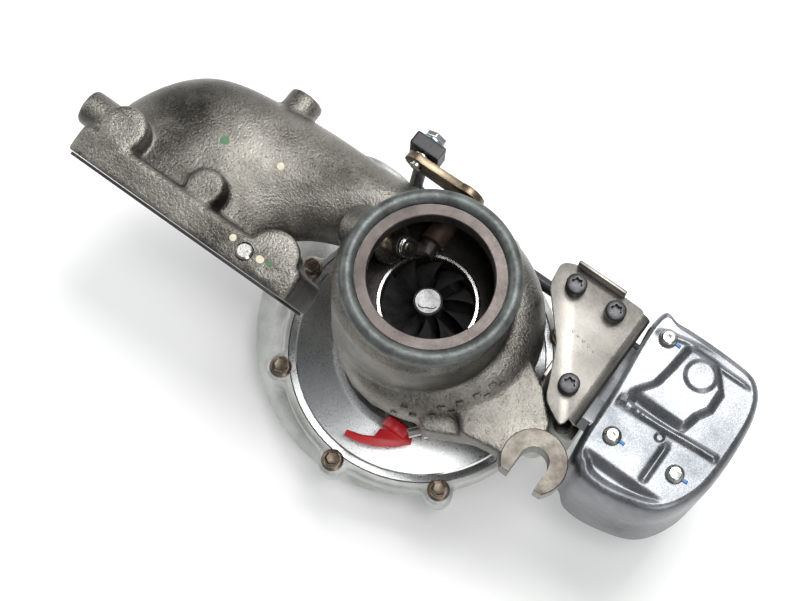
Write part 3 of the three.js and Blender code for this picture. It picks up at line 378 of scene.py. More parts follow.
def casting_skin():
    """The outside of the casting as overlapping closed shapes."""
    bm = bmesh.new()
    loft(bm, scroll_section(0), 96, 40)
    loft(bm, elbow_section(0, 0), 72, 56)
    lathe(bm, [(0, 104), (CUP_R + 4.5, 104), (CUP_R + 4.5, 160), (CUP_R + 2, 165), (36, 168.5), (0, 168.5)],
          centre=(CUP_X, 0))
    lathe(bm, [(0, 160), (35, 160), (37.4, 166), (38.8, 170), (38.8, 176), (0, 176)])
    lathe(bm, [(0, 91), (38, 91), (38, 95), (34, 98), (34, 118), (0, 118)])
    old = set(bm.verts)
    plate = block(bm, (FLANGE_LEFT, FACE_Y - 2, FLANGE_FOOT), (FLANGE_RIGHT, FACE_Y + 15, FLANGE_TOP))
    soften(bm, plate, 3, 3)
    leaned(bm, newest(bm, old))
    for x, y, radius, top in ((-160, -17, 11, 150.5), (-113, -17, 9, 148.5), (-68, -26, 13, 149)):
        lathe(bm, [(0, 118), (radius + 1.5, 118), (radius, top - 1), (radius - 1, top), (0, top)], 48, (x, y))
    rod(bm, (-186.4, -14, 132), (-161, -14, 132), 9)
    rod(bm, (-110, 40, SCROLL_MIDDLE), (-110, 55.5, SCROLL_MIDDLE), 9.2)
    rod(bm, GATE_SHAFT - Y * 9, GATE_SHAFT + Y * 11.5, 9.5)
    prism(bm, [(36, -28), (46, -37.5), (69, -34), (73, -20), (77, -11), (64, 2), (48, 12)], 114.5, 126.6)
    prism(bm, [(14, -30), (30, -46), (47, -38), (70, -26), (58, -6), (40, 10)], 108, 122)
    lathe(bm, [(0, 115.5), (15.5, 115.5), (15.5, 127), (0, 127)], centre=(80, -29))
    rod(bm, GATE - STEM * 32, GATE - STEM * 10.2, 12.5)
    return bm


def fork_slot():
    """The gap that a bracket's screw slides into, open towards -Y."""
    arc = [(80 + 7 * math.cos(a), -29 + 7 * math.sin(a)) for a in (math.pi * k / 12 for k in range(13))]
    return shape(prism, [(87, -60)] + arc + [(73, -60)], 110, 130)


grain = 1.15
skin = fuse(casting_skin(), grain, 5)
ports = [shape(block, (x - 17, FACE_Y - 4, 101), (x + 18, -22, 131)) for x in (-148, -106)]
for port in ports:
    soften(port, port.verts, 11, 6)
studs = [shape(rod, (x, FACE_Y - 4, z), (x, FACE_Y + 22, z), 4.2, 24)
         for x in (FLANGE_LEFT + 9, FLANGE_RIGHT - 9) for z in (FLANGE_FOOT + 9, FLANGE_TOP - 9)]
chamber = [(0, CUP_FLOOR + 6), (25, CUP_FLOOR + 6), (CUP_R, CUP_FLOOR), (CUP_R, 160), (34, 166),
           (OUTLET_BORE, 170), (0, 170)]
skin = carve(
    skin,
    leaned(shape(block, (-200, FACE_Y - 30, 60), (-40, FACE_Y, 200))),
    shape(lathe, chamber, centre=(CUP_X, 0)),
    shape(lathe, [(0, 165), (OUTLET_BORE, 165), (OUTLET_BORE, 190), (0, 190)]),
    shape(loft, scroll_section(4), 60, 24),
    shape(loft, elbow_section(4, 0.08), 48, 32),
    *[leaned(tool) for tool in ports + studs],
    shape(lathe, [(0, 80), (29, 80), (29, 111), (32, 112), (32, 120), (24.6, 120.5), (21.4, 128),
                  (21.4, 143), (0, 143)]),
    shape(rod, GATE - STEM * 30, GATE - STEM * 8, 8),
    shape(rod, GATE_SHAFT - Y * 14, GATE_SHAFT + Y * 13, 6.3),
    fork_slot(),
    shape(block, (58, -70, 110), (100, -39.5, 131)),
    shape(lathe, [(0, 135.5), (4.3, 135.5), (4.3, 160), (0, 160)], 24, (-79, -32)),
)


def surface(name, light, dark, metallic, roughness, patch, grit, relief, rough_spread=0.1):
    """A material whose colour wanders between two shades over patches of a size in mm, under a
    fine grit of another size in mm that lifts the surface by relief mm. Real grit and mill marks
    are nearer 0.2 mm and are drawn coarser, so that they still show."""
    material = bpy.data.materials.new(name)
    material.use_nodes = True
    tree = material.node_tree
    shader = tree.nodes["Principled BSDF"]
    shader.inputs["Metallic"].default_value = metallic
    place = add_node(tree, "ShaderNodeTexCoord").outputs["Object"]
    clouds = add_node(tree, "ShaderNodeTexNoise", {"Scale": 1000 / patch, "Detail": 4, "Roughness": 0.6},
                      {"Vector": place})
    fine = add_node(tree, "ShaderNodeTexNoise", {"Scale": 1000 / grit, "Detail": 3, "Roughness": 0.65},
                    {"Vector": place})
    share = add_node(tree, "ShaderNodeMath", {"operation": "MULTIPLY_ADD", 1: 0.35},
                     {0: fine.outputs["Fac"], 2: clouds.outputs["Fac"]})
    ramp = add_node(tree, "ShaderNodeValToRGB", links={"Fac": share.outputs[0]})
    ramp.color_ramp.elements[0].position = 0.48
    ramp.color_ramp.elements[0].color = tint(dark)
    ramp.color_ramp.elements[1].position = 0.86
    ramp.color_ramp.elements[1].color = tint(light)
    tree.links.new(ramp.outputs["Color"], shader.inputs["Base Color"])
    polish = add_node(tree, "ShaderNodeMapRange", {"From Min": 0.3, "From Max": 0.7,
                                                    "To Min": roughness - rough_spread,
                                                    "To Max": roughness + rough_spread},
                      {"Value": fine.outputs["Fac"]})
    tree.links.new(polish.outputs["Result"], shader.inputs["Roughness"])
    bump = add_node(tree, "ShaderNodeBump", {"Strength": 0.9, "Distance": relief * 0.001},
                    {"Height": fine.outputs["Fac"]})
    tree.links.new(bump.outputs["Normal"], shader.inputs["Normal"])
    return material


# Shot-blasted stainless casting: mid grey, slightly warm, with a glitter of 1 mm grit marks.
cast_steel = surface("blasted_cast_stainless", "#85827b", "#3f3d39", 0.95, 0.34, 34, 1.2, 0.5)
# The outlet chamber and its bore are painted nearly black: painted shade of the deep hollow, on a dull
# material.
chamber_painted_shade = surface("painted_chamber_shade_black", "#4b4743", "#211f1d", 0.7, 0.5, 16, 1.5, 0.2)

# The outlet lip has a matt blue-grey oxide, and its machined seat a brown one.
lip_oxide = surface("blue_grey_oxide", "#5f6462", "#3c3f3d", 0.7, 0.5, 7, 1.1, 0.16)
seat_oxide = surface("machined_brown_oxide", "#504946", "#342e2c", 0.7, 0.42, 14, 0.8, 0.01)
shroud_steel = surface("wiped_shroud_edge", "#b9b7b2", "#8b8984", 1, 0.3, 8, 0.7, 0.01)

casting_tree = BVHTree.FromBMesh(skin)
# Faces inside the outlet chamber and its bore get material 1, the nearly black painted shade.
for face in skin.faces:
    spot = face.calc_center_median()
    in_cup = math.hypot(spot.x - CUP_X, spot.y) < CUP_R + 0.4 and CUP_FLOOR - 0.5 < spot.z < 168
    in_bore = math.hypot(spot.x, spot.y) < OUTLET_BORE + 0.3 and spot.z > CUP_FLOOR
    face.material_index = 1 if in_cup or in_bore else 0

# The lip and the shroud edge are turned on the lathe, so they are true rounds.
lip_round = [(36.9 + 3.4 * math.cos(a), LIP_TOP - 3.4 + 3.4 * math.sin(a))
             for a in (math.radians(155 - 185 * k / 16) for k in range(17))]
turned_parts = [
    (2, [(34, 166.5), (33.5, 177.6)] + lip_round + [(39.4, 171), (37.6, 167.5)]),
    (3, [(OUTLET_BORE, 168.8), (OUTLET_BORE, 176.8), (28.5, 177.2), (33.2, 177.2), (33.3, 176.6),
         (33.3, 168.8)]),
    (4, [(21.4, 137), (21.4, 140.1), (21.8, 140.5), (23, 140.5), (23.9, 139.7), (23.9, 137)]),
]
for zone, profile in turned_parts:
    known = set(skin.faces)
    lathe(skin, profile, 144)
    for face in skin.faces:
        if face not in known:
            face.material_index = zone
finish("turbine_casting", skin, [cast_steel, chamber_painted_shade, lip_oxide, seat_oxide, shroud_steel],
       "turbine_housing", sharp=40)


def spun(bm, start, along, profile, sides=64):
    """Spins [radius, distance] points round a line that leaves start in a direction."""
    verts = lathe(bm, profile, sides)
    turn = Vector(along).to_track_quat("Z", "Y").to_matrix().to_4x4()
    bmesh.ops.transform(bm, matrix=Matrix.Translation(start) @ turn, verts=verts)
    return verts


def disc_profile(radius, low, high, edge):
    """Half the outline of a solid disc with rounded edges."""
    return [(0, low), (radius - edge, low), (radius, low + edge), (radius, high - edge),
            (radius - edge, high), (0, high)]


def dressed(node, *materials, width=0.4, grain=None):
    """A plain piece from its solid: flat faces joined and edges rounded, or run smooth as a casting."""
    bm = bmesh.new()
    bm.from_mesh(frame["nodes"][node].data)
    bmesh.ops.transform(bm, matrix=PLACE.inverted(), verts=bm.verts)
    bmesh.ops.remove_doubles(bm, verts=bm.verts, dist=1e-3)
    bmesh.ops.dissolve_limit(bm, angle_limit=math.radians(1), verts=bm.verts, edges=bm.edges)
    if grain:
        bm = fuse(bm, grain, 3)
    else:
        soften(bm, bm.verts, width, 2, 32)
    return finish(node + "_finished", bm, materials, node)


machined_fork = carve(shape(lathe, disc_profile(15.3, 126.2, 127.5, 0.4), 96, (80, -29)), fork_slot(),
                      shape(block, (58, -70, 110), (100, -39.5, 131)))
# Milled steel that has begun to rust: brown-grey and fairly smooth.
milled_steel = surface("milled_rusting_steel", "#5b5852", "#332c26", 0.8, 0.4, 9, 0.8, 0.04)
finish("machined_fork_face", machined_fork, [milled_steel], "turbine_housing", stands=False)

# Raised casting marks: an arc of plain bars round the lower right of the scroll, laid on the
# skin and sunk into it. They stand for the foundry's lettering and say nothing.
marks = bmesh.new()
for step in range(15):
    bearing = math.radians(-72 + 5.2 * step)
    away = Vector((math.cos(bearing), math.sin(bearing), 0))
    start = away * (46.5 if step % 2 else 48.5) + Z * 170
    spot, normal = casting_tree.ray_cast(start, -Z)[:2]
    if spot is None or step % 5 == 3:
        continue
    turn = normal.to_track_quat("Z", "Y").to_matrix().to_4x4()
    bar_size = Matrix.Diagonal((3.4, 1.1 + 0.9 * (step % 2), 2.4, 1))
    bmesh.ops.create_cube(marks, size=1, matrix=Matrix.Translation(spot) @ turn @ bar_size)
soften(marks, marks.verts, 0.3)
finish("raised_cast_marks", marks, [cast_steel], "turbine_housing", stands=False)

# ---- Inspection paint ----------------------------------------------------------------------
# Small dabs of marking paint that the inspector leaves on the casting. Thin, matt and flat.
ABOVE_ELBOW = 175
green_paint = surface("green_marking_paint", "#3f6b49", "#2f5338", 0, 0.6, 5, 0.6, 0.02)
pale_paint = surface("pale_marking_paint", "#c9c4ae", "#a9a48f", 0, 0.65, 5, 0.6, 0.02)
green_dabs = [(-122, 8, 2.6), (-66, -30, 1.6)]
pale_dabs = [(-94, 14, 2.2), (-71, -31, 2.4), (-87, -30, 2)]
for name, paint, dabs in (("green_paint_dabs", green_paint, green_dabs),
                          ("pale_paint_dabs", pale_paint, pale_dabs)):
    dab = bmesh.new()
    for x, y, radius in dabs:
        spot, normal = casting_tree.ray_cast(Vector((x, y, ABOVE_ELBOW)), -Z)[:2]
        spun(dab, spot - normal * 0.4, normal, [(0, 0), (radius, 0), (radius * 0.8, 0.46), (0, 0.5)], 24)
    finish(name, dab, [paint], "turbine_housing", stands=False)

# ---- Manifold gasket and flange pin --------------------------------------------------------
# A black coated steel gasket lies on the sealing face. The pin is ground steel, pressed in.
gasket_coat = surface("black_gasket_coating", "#161617", "#0c0c0d", 0.1, 0.55, 12, 0.8, 0.01)
dressed("manifold_gasket", gasket_coat, width=0.15)
# Ground or plated steel: bright, with a tight highlight.
bright_steel = surface("bright_ground_steel", "#c6c5c1", "#a09f9b", 1, 0.24, 14, 0.7, 0.006, 0.05)
pin = bmesh.new()
pin_low, pin_high = corners("flange_pin")
pin_middle = (pin_low + pin_high) / 2
lathe(pin, disc_profile(4, pin_low.z, pin_high.z, 0.8), 48, (pin_middle.x, pin_middle.y))
finish("pressed_flange_pin", pin, [bright_steel], "flange_pin")

# ---- Turbine wheel -------------------------------------------------------------------------
# Cast in a nickel alloy in one piece: hub, ten curved blades and a nose with a centre drilling
# that was milled off at three sides for balance. Friction welded to the shaft.
dark_alloy = surface("cast_nickel_alloy", "#757474", "#454546", 0.85, 0.42, 9, 0.7, 0.03)


def blades(bm, count, thick, hub, tip, twist):
    """Thin bent blades between a hub line and a tip line: u runs along the wheel, v outwards."""
    for k in range(count):
        old = set(bm.verts)
        bmesh.ops.create_grid(bm, x_segments=16, y_segments=6, size=0.5)
        sheet = newest(bm, old)
        for vert in sheet:
            u, v = vert.co.x + 0.5, vert.co.y + 0.5
            (hub_r, hub_z), (tip_r, tip_z) = hub(u), tip(u)
            radius, angle = between(hub_r, tip_r, v), math.tau * k / count + twist(u, v)
            vert.co = (radius * math.cos(angle), radius * math.sin(angle), between(hub_z, tip_z, v))
        bmesh.ops.solidify(bm, geom=list({f for v in sheet for f in v.link_faces}), thickness=thick)
        outward(bm, newest(bm, old))


WHEEL_BACK, HUB_R = 115, 6.6
wheel = bmesh.new()
lathe(wheel, [(0, WHEEL_BACK), (18.8, WHEEL_BACK), (19, WHEEL_BACK + 1.2), (14.5, WHEEL_BACK + 3),
              (10.5, WHEEL_BACK + 8), (8, WHEEL_BACK + 14), (HUB_R, WHEEL_TOP - 3), (HUB_R, WHEEL_TOP + 1),
              (HUB_R - 0.9, WHEEL_TOP + 1.6), (1.6, WHEEL_TOP + 1.6), (0, WHEEL_TOP + 0.4)], 72)
nose = [((3.9 + 0.7 * math.cos(3 * a)) * math.cos(a), (3.9 + 0.7 * math.cos(3 * a)) * math.sin(a))
        for a in (math.tau * k / 60 for k in range(60))]
prism(wheel, nose, WHEEL_TOP + 1.4, WHEEL_TOP + 2.5)
blades(wheel, 10, 0.9,
       lambda u: (between(14, HUB_R - 1, ease(u, 0, 0.75)), between(WHEEL_BACK + 2.2, WHEEL_TOP - 1.5, u)),
       lambda u: (between(23.9, EXDUCER_R, ease(u, 0, 0.5)), between(WHEEL_BACK + 2, WHEEL_TOP, u ** 1.15)),
       lambda u, v: -0.75 * ease(u, 0.35, 1.15) * between(0.55, 1, v))
finish("cast_turbine_wheel", wheel, [dark_alloy], "turbine_wheel")

# ---- Wastegate -----------------------------------------------------------------------------
# A cast arm turns in a pressed bush and carries a loose valve disc by its peened stem, under a
# stacked washer. The arm lies in the chamber and takes its nearly black painted shade; the brown bush is
# scaled, and the washer is bright.
dressed("wastegate_arm", chamber_painted_shade, grain=0.5)
valve = bmesh.new()
spun(valve, GATE, STEM, [(0, -9.6), (9.8, -9.6), (10.5, -9), (10.5, -7.2), (9.9, -6.6), (4.6, -6.2),
                         (4.6, -2), (2.7, -2), (2.7, 4.9), (2.2, 5.6), (0, 5.6)])
# The disc is wiped clean by the gas: bright steel with a straw tint.
valve_steel = surface("straw_tinted_steel", "#b7b0a3", "#857c6f", 1, 0.3, 6, 0.7, 0.01, 0.06)
finish("turned_valve_disc", valve, [valve_steel], "wastegate_valve")
washer = bmesh.new()
spun(washer, GATE, STEM, [(3, 2.8), (4.6, 2.8), (4.8, 3), (4.8, 3.8), (4.5, 4), (4.8, 4.2), (4.8, 5),
                          (4.6, 5.2), (3, 5.2)])
finish("stacked_valve_washer", washer, [bright_steel], "valve_washer")
bush = bmesh.new()
bush_low, bush_high = corners("wastegate_bush")
bush_r, shaft_gap = (bush_high.x - bush_low.x) / 2, 4.3
ribs = [(bush_r - 0.35 * (k % 2), between(bush_low.y + 0.4, bush_high.y - 0.4, k / 12)) for k in range(13)]
spun(bush, (GATE_SHAFT.x, 0, GATE_SHAFT.z), Y,
     [(shaft_gap, bush_low.y), (bush_r - 0.4, bush_low.y)] + ribs + [(bush_r - 0.4, bush_high.y),
                                                                    (shaft_gap, bush_high.y)])
brown_scale = surface("brown_heat_scale", "#6b5a4e", "#43372f", 0.6, 0.55, 6, 0.9, 0.05)
finish("ribbed_wastegate_bush", bush, [brown_scale], "wastegate_bush")

# ---- Crank, link and their pins ------------------------------------------------------------
# The crank is a stainless plate welded to the wastegate shaft, with a straw heat tint. The link
# is a black coated bar with two eyes, held on the crank pin by a blue-zinc washer and a nut.
tan_plate = surface("straw_tinted_stainless_plate", "#857866", "#544a3d", 0.95, 0.38, 12, 0.8, 0.02)
black_coat = surface("black_coated_steel", "#222224", "#141416", 0.2, 0.45, 12, 0.8, 0.02)
blue_zinc = surface("blue_passivated_zinc", "#aebfcc", "#8798a6", 1, 0.3, 8, 0.7, 0.01)
dressed("wastegate_crank", tan_plate, width=0.5)
dressed("crank_pin", bright_steel, width=0.35)
dressed("link_rod", black_coat, grain=0.55)
dressed("link_washer", blue_zinc, width=0.2)
dressed("link_nut", bright_steel, width=0.4)

# ---- Back plate and its screws -------------------------------------------------------------
# A turned aluminium disc closes the compressor. The lathe leaves fine rings, so the light fans
# out across them from the middle, and the chamfers flash.
turned_aluminium = surface("lathe_turned_aluminium", "#c3c4c4", "#a6a7a8", 1, 0.3, 60, 0.8, 0.004, 0.05)
turned_shader = turned_aluminium.node_tree.nodes["Principled BSDF"]
turned_shader.inputs["Anisotropic"].default_value = 0.75
rings = add_node(turned_aluminium.node_tree, "ShaderNodeTangent", {"direction_type": "RADIAL", "axis": "Z"})
turned_aluminium.node_tree.links.new(rings.outputs["Tangent"], turned_shader.inputs["Tangent"])
plate_foot = corners("back_plate")[0].z
plate = bmesh.new()
lathe(plate, [(9, plate_foot), (61.8, plate_foot), (61.8, 54), (65.4, 54), (65.7, 54.3), (65.7, 57.7),
              (65.4, 58), (62.4, 58), (61.6, 58.7), (60.8, 58.8), (44.5, 61.4), (43, 61.7),
              (9, 61.7)], 180)
finish("turned_back_plate", plate, [turned_aluminium], "back_plate")

# Flanged hexagon screws, zinc-nickel plated, slightly brown, with dished heads.
SCREW_SEAT = 58
brown_zinc = surface("zinc_nickel_plate", "#85796c", "#594e43", 0.95, 0.36, 5, 0.6, 0.02)
for number in range(1, 9):
    screw = bmesh.new()
    low, high = corners(f"plate_bolt_{number}")
    middle = (low + high) / 2
    lathe(screw, [(0, low.z), (2.5, low.z), (2.5, SCREW_SEAT), (5.3, SCREW_SEAT),
                  (5.55, SCREW_SEAT + 0.25), (5.55, SCREW_SEAT + 0.6), (4.3, SCREW_SEAT + 1.8),
                  (0, SCREW_SEAT + 1.8)], 48, (middle.x, middle.y))
    old = set(screw.verts)
    reach = min(3.95, (high.y - low.y) / 2)
    turns = [math.radians(60 * k + 13 * number) for k in range(6)]
    hexagon = [(middle.x + reach * math.cos(a), middle.y + reach * math.sin(a)) for a in turns]
    head = prism(screw, hexagon, SCREW_SEAT + 1, high.z)
    top = {face for vert in head for face in vert.link_faces if face.normal.z > 0.9}
    bmesh.ops.inset_region(screw, faces=list(top), thickness=0.9, depth=0)
    bmesh.ops.translate(screw, vec=(0, 0, -0.9), verts=list({v for face in top for v in face.verts}))
    soften(screw, newest(screw, old), 0.25)
    finish(f"dished_flange_screw_{number}", screw, [brown_zinc], f"plate_bolt_{number}")

# ---- Compressor housing --------------------------------------------------------------------
# A sand cast aluminium scroll that grows to the discharge pipe, with a rim of eight bosses, an
# inlet neck, a foot pad and the actuator bracket's boss. Light, rough skin; bores machined.
sand_cast = surface("sand_cast_aluminium", "#c2c3c1", "#94958f", 0.75, 0.5, 26, 1.3, 0.3)
RIM_TOP, RIM_R, PIPE_X, PIPE_Y, PIPE_R = 58, 69.5, -73, 76, 22


def diffuser_section(wall):
    def section(t):
        angle = math.radians(150 - 330 * t)
        outside, tube = between(60, PIPE_R - PIPE_X, t ** 4), between(10, PIPE_R, t ** 1.4)
        side = Vector((math.cos(angle), math.sin(angle), 0))
        centre = side * (outside - tube) + Z * between(33, PIPE_R + 1.5, t ** 1.5)
        return centre, side, tube - wall, tube - wall
    return section


bolt_places = [(corners(f"plate_bolt_{n}")[0] + corners(f"plate_bolt_{n}")[1]) / 2 for n in range(1, 9)]
cover = bmesh.new()
loft(cover, diffuser_section(0), 96, 48)
lathe(cover, [(0, 20), (34, 20), (50, 40), (RIM_R, 47), (RIM_R, RIM_TOP), (0, RIM_TOP)], 128)
lathe(cover, [(0, 0), (29.4, 0), (30, 0.6), (30, 3.5), (27, 6), (27, 24), (0, 24)], 96)
rod(cover, (PIPE_X, -2, PIPE_R + 1.5), (PIPE_X, PIPE_Y, PIPE_R + 1.5), PIPE_R, 72)
soften(cover, block(cover, (PIPE_X - 9, -12, 0), (PIPE_X + 9, 12, 12)), 2)
for place in bolt_places:
    lathe(cover, [(0, 42), (6, 42), (7.4, 45), (7.4, RIM_TOP), (0, RIM_TOP)], 40, (place.x, place.y))
soften(cover, block(cover, (56, 4, 36), (86, 24, 50)), 2)
soften(cover, block(cover, (69.8, 4, 44), (86, 24, 63.6)), 2)
cover = fuse(cover, 1.3, 3)
neck = [(0, -1), (25, -1), (23, 3), (21.6, 18), (21.6, 24), (24.5, 32), (29.6, 45.7), (46, 45.7),
        (46, 51.2), (0, 51.2)]
FOOT_SCREWS = [(78, 8.5), (78, 19.5)]
cover = carve(
    cover,
    shape(loft, diffuser_section(4), 72, 32),
    shape(lathe, [(0, 51), (62.3, 51), (62.3, 53.7), (66, 53.7), (66, 60), (0, 60)], 128),
    shape(lathe, neck),
    shape(rod, (PIPE_X, -6, PIPE_R + 1.5), (PIPE_X, PIPE_Y + 1, PIPE_R + 1.5), PIPE_R - 4, 64),
    *[shape(lathe, [(0, 43), (2.9, 43), (2.9, 60), (0, 60)], 24, (place.x, place.y))
      for place in bolt_places],
    *[shape(lathe, [(0, 48), (3.4, 48), (3.4, 65), (0, 65)], 24, place) for place in FOOT_SCREWS],
)
finish("sand_cast_compressor_housing", cover, [sand_cast], "compressor_housing", sharp=40)

# ---- Compressor wheel and the rest of the rotor --------------------------------------------
# A milled aluminium wheel is held on the ground steel shaft by a nut, behind a thrust collar.
impeller = bmesh.new()
lathe(impeller, [(3.3, 50.5), (28.8, 50.5), (29, 49.4), (20, 47), (13, 41.5), (9.5, 33.5), (8, 24), (7.5, 20),
                 (3.3, 20)], 72)
blades(impeller, 10, 0.7,
       lambda u: (between(28, 7.2, ease(u, 0, 0.8)), between(49.1, 25, u)),
       lambda u: (between(28.9, 21, ease(u, 0, 0.6)), between(46.3, 24, u ** 1.1)),
       lambda u, v: 0.9 * u * between(0.7, 1, v))
milled_aluminium = surface("milled_aluminium", "#c8c9ca", "#aeb0b1", 1, 0.3, 12, 0.8, 0.006)
finish("milled_compressor_wheel", impeller, [milled_aluminium], "compressor_wheel")
dark_phosphate = surface("phosphated_steel", "#3c3c3d", "#1e1e1f", 0.7, 0.38, 5, 0.6, 0.015)
bearing_bronze = surface("turned_bearing_bronze", "#b98f4e", "#96713a", 1, 0.32, 10, 0.8, 0.006)
rotor_parts = [("rotor_shaft", bright_steel), ("thrust_collar", bright_steel), ("shaft_nut", bright_steel),
               ("turbine_seal_ring", dark_phosphate), ("compressor_seal_ring", dark_phosphate),
               ("thrust_bearing", bearing_bronze), ("journal_bearing", bearing_bronze),
               ("turbine_heat_shield", dark_alloy)]
for node, material in rotor_parts:
    dressed(node, material, width=0.15)

# ---- Centre housing, clamp band and oil plug -----------------------------------------------
# A grey iron casting carries the bearings. A stainless V-band with a T-bolt and a yellow nut
# clamps the turbine housing to it, and a soft red plug with a pull strap shuts the oil port.
iron_skin = surface("grey_iron_casting_skin", "#55534f", "#33312e", 0.7, 0.52, 14, 1.2, 0.15)
dressed("centre_housing", iron_skin, grain=0.9)
dressed("clamp_band", bright_steel, width=0.35)
dressed("clamp_bolt", bright_steel, width=0.2)
yellow_zinc = surface("yellow_passivated_zinc", "#bba670", "#8d7a48", 1, 0.33, 5, 0.6, 0.01)
dressed("clamp_nut", yellow_zinc, width=0.35)
red_plastic = surface("soft_red_plastic", "#c3141f", "#a50f19", 0, 0.42, 30, 0.8, 0.01)
dressed("oil_port_plug", red_plastic, width=0.45)

# ---- Actuator ------------------------------------------------------------------------------
# A die cast box with a motor sleeve and screw ears, shut by a black plastic cover with the
# wiring plug. Inside are a small motor and two plastic gears that turn the output lever.
die_cast = surface("die_cast_aluminium", "#77797b", "#55575a", 0.85, 0.45, 18, 1, 0.06)
dressed("actuator_housing", die_cast, width=0.8)
black_plastic = surface("black_glass_filled_plastic", "#1c1d1f", "#121315", 0, 0.48, 14, 0.8, 0.02)
dressed("actuator_cover", black_plastic, width=0.7)
dressed("actuator_lever", dark_phosphate, width=0.4)
gear_plastic = surface("moulded_gear_plastic", "#c7c1ac", "#b2ac97", 0, 0.45, 10, 0.8, 0.01)
for node, material in (("output_gear", gear_plastic), ("intermediate_gear", gear_plastic),
                       ("motor_rotor", dark_phosphate), ("motor_can", bright_steel)):
    dressed(node, material, width=0.15)

# ---- Actuator bracket and screws -----------------------------------------------------------
# Pressed from 2 mm stainless sheet: a flat plate with a bent tab along the far edge, an edge
# rolled down beside the shield, and a leg to the foot on the compressor housing.
pressed_stainless = surface("pressed_stainless_sheet", "#8d8a84", "#605d58", 0.9, 0.38, 34, 0.9, 0.05)
SHEET_TOP = 130
bracket = bmesh.new()
corner_points = [(38.5, 43.5), (36.9, 55.6), (44, 59.2), (82, 58.4), (81.5, -7), (79, -9), (68, -3), (57, 22)]
outline = []
for i, corner in enumerate(corner_points):
    before, after = Vector(corner_points[i - 1]), Vector(corner_points[(i + 1) % len(corner_points)])
    corner = Vector(corner)
    trim = [min(3.5, (other - corner).length * 0.4) for other in (before, after)]
    first, last = (corner + (other - corner).normalized() * t for other, t in zip((before, after), trim))
    outline += [first * (1 - s) ** 2 + corner * 2 * s * (1 - s) + last * s * s
                for s in (0, 0.25, 0.5, 0.75, 1)]
soften(bracket, prism(bracket, outline, SHEET_TOP - 2, SHEET_TOP), 0.35, 2, 50)
roll = [(x, z) for r in (5.5, 3.5) for x, z in (
    (80.3 + r * math.sin(a), 124.5 + r * math.cos(a)) for a in (math.pi / 2 * k / 10 for k in range(11)))]
roll = roll[:11] + roll[:10:-1]
rolled = prism(bracket, roll, -57, 4)
bmesh.ops.rotate(bracket, cent=(0, 0, 0), matrix=Matrix.Rotation(math.pi / 2, 3, "X"), verts=rolled)
soften(bracket, block(bracket, (44, 57.6, 128), (70, 59.6, 136)), 0.7, 3)
soften(bracket, block(bracket, (60, 6, 66), (62.5, 22, 129)), 0.7, 3)
foot = prism(bracket, [(60, 5), (86, 5), (86, 23.5), (60, 23.5)], 64, 66.5)
soften(bracket, foot, 0.7, 3)
for k in range(5):
    lathe(bracket, [(0, 129.6), (0.8, 129.6), (0.6, 130.35), (0, 130.5)], 16, (60 + 3.2 * k, 31 - 0.6 * k))
finish("pressed_bracket", bracket, [pressed_stainless], "actuator_bracket")


def socket_head(node, seat, head_r, edge, material, hollow):
    """A screw with a round head and a six-lobed socket."""
    low, high = corners(node)
    middle = (low + high) / 2
    screw = shape(lathe, [(0, low.z), (2.6, low.z), (2.6, seat), (head_r, seat), (head_r, high.z - edge),
                          (head_r - edge * 0.3, high.z - edge * 0.3), (head_r - edge, high.z), (0, high.z)],
                  64, (middle.x, middle.y))
    lobes = [(middle.x + hollow * (0.87 + 0.13 * math.cos(6 * a)) * math.cos(a),
              middle.y + hollow * (0.87 + 0.13 * math.cos(6 * a)) * math.sin(a))
             for a in (math.tau * k / 72 for k in range(72))]
    hollow_tool = shape(prism, lobes, high.z - 2.4, high.z + 1)
    finish(node + "_socket_head", carve(screw, hollow_tool), [material], node)


for number in (1, 2, 3):
    socket_head(f"bracket_screw_{number}", SHEET_TOP + 0.3, 4.9, 0.8, dark_phosphate, 2.9)
for number in (1, 2):
    socket_head(f"foot_screw_{number}", 66.8, 4.4, 0.7, dark_phosphate, 2.5)

# ---- Heat shield and screws ----------------------------------------------------------------
# Pressed from 1.2 mm aluminised sheet into a lid over the actuator: a raised table with a round
# flat, a ridge across the middle, two screw pads with a valley between them, and a deep skirt.
SHIELD_EDGE = [(86.5, 60), (98, 66), (130, 66), (143, 62), (150, 48), (152, 22), (149, 0), (138, -17),
               (119, -24), (104, -25), (96.5, -21), (90, -8)]
SHIELD_MIDDLE = Vector((118, 22))
SHIELD_TOP = 129


def along_line(points, y):
    """x on a line of [x, y] points at a height y."""
    for (x0, y0), (x1, y1) in zip(points, points[1:]):
        if y <= y1:
            return between(x0, x1, min(1, max(0, (y - y0) / (y1 - y0))))
    return points[-1][0]


def stamped(x, y):
    """How far the press lifts the sheet over its flat."""
    left = along_line([(94, 20), (102.9, 32.7), (104.5, 42.8), (105.7, 54)], y)
    right = along_line([(123.5, 15), (127.1, 30.5), (130.5, 36.4), (130.4, 46.2), (122.1, 56)], y)
    table = ease(x, left - 1, left + 4) * (1 - ease(x, right - 2, right + 2.5)) * ease(y, 19, 25)
    table *= 1 - ease(y, 54, 59)
    flat = 1 - ease(math.hypot(x - 118.7, y - 46.6), 6, 8.2)
    ridge = math.exp(-((y - 18.2 + 1.2 * math.cos((x - 105) / 14)) / 1.5) ** 2) * ease(x, 91, 96)
    fold = math.exp(-((y - 56.2) / 1.1) ** 2) * ease(x, 121, 125) * (1 - ease(x, 139, 142))
    crest = math.exp(-((y - 54 - (x - 91) * 0.27) / 1.3) ** 2) * (1 - ease(x, 117, 121))
    valley = math.exp(-((x - 124) / 1.6) ** 2) * (1 - ease(y, 10, 15)) * ease(y, -10, -6)
    south = 1 - ease(y, -15, -9)
    dimple = 1 - ease(math.hypot(x - 119.3, y - 13.3), 1.2, 2.8)
    lifted = 4.2 * table + 1.5 * flat + 2 * ridge + 1.3 * fold + 1.2 * crest
    return lifted - 1.6 * valley - 3.4 * south - dimple


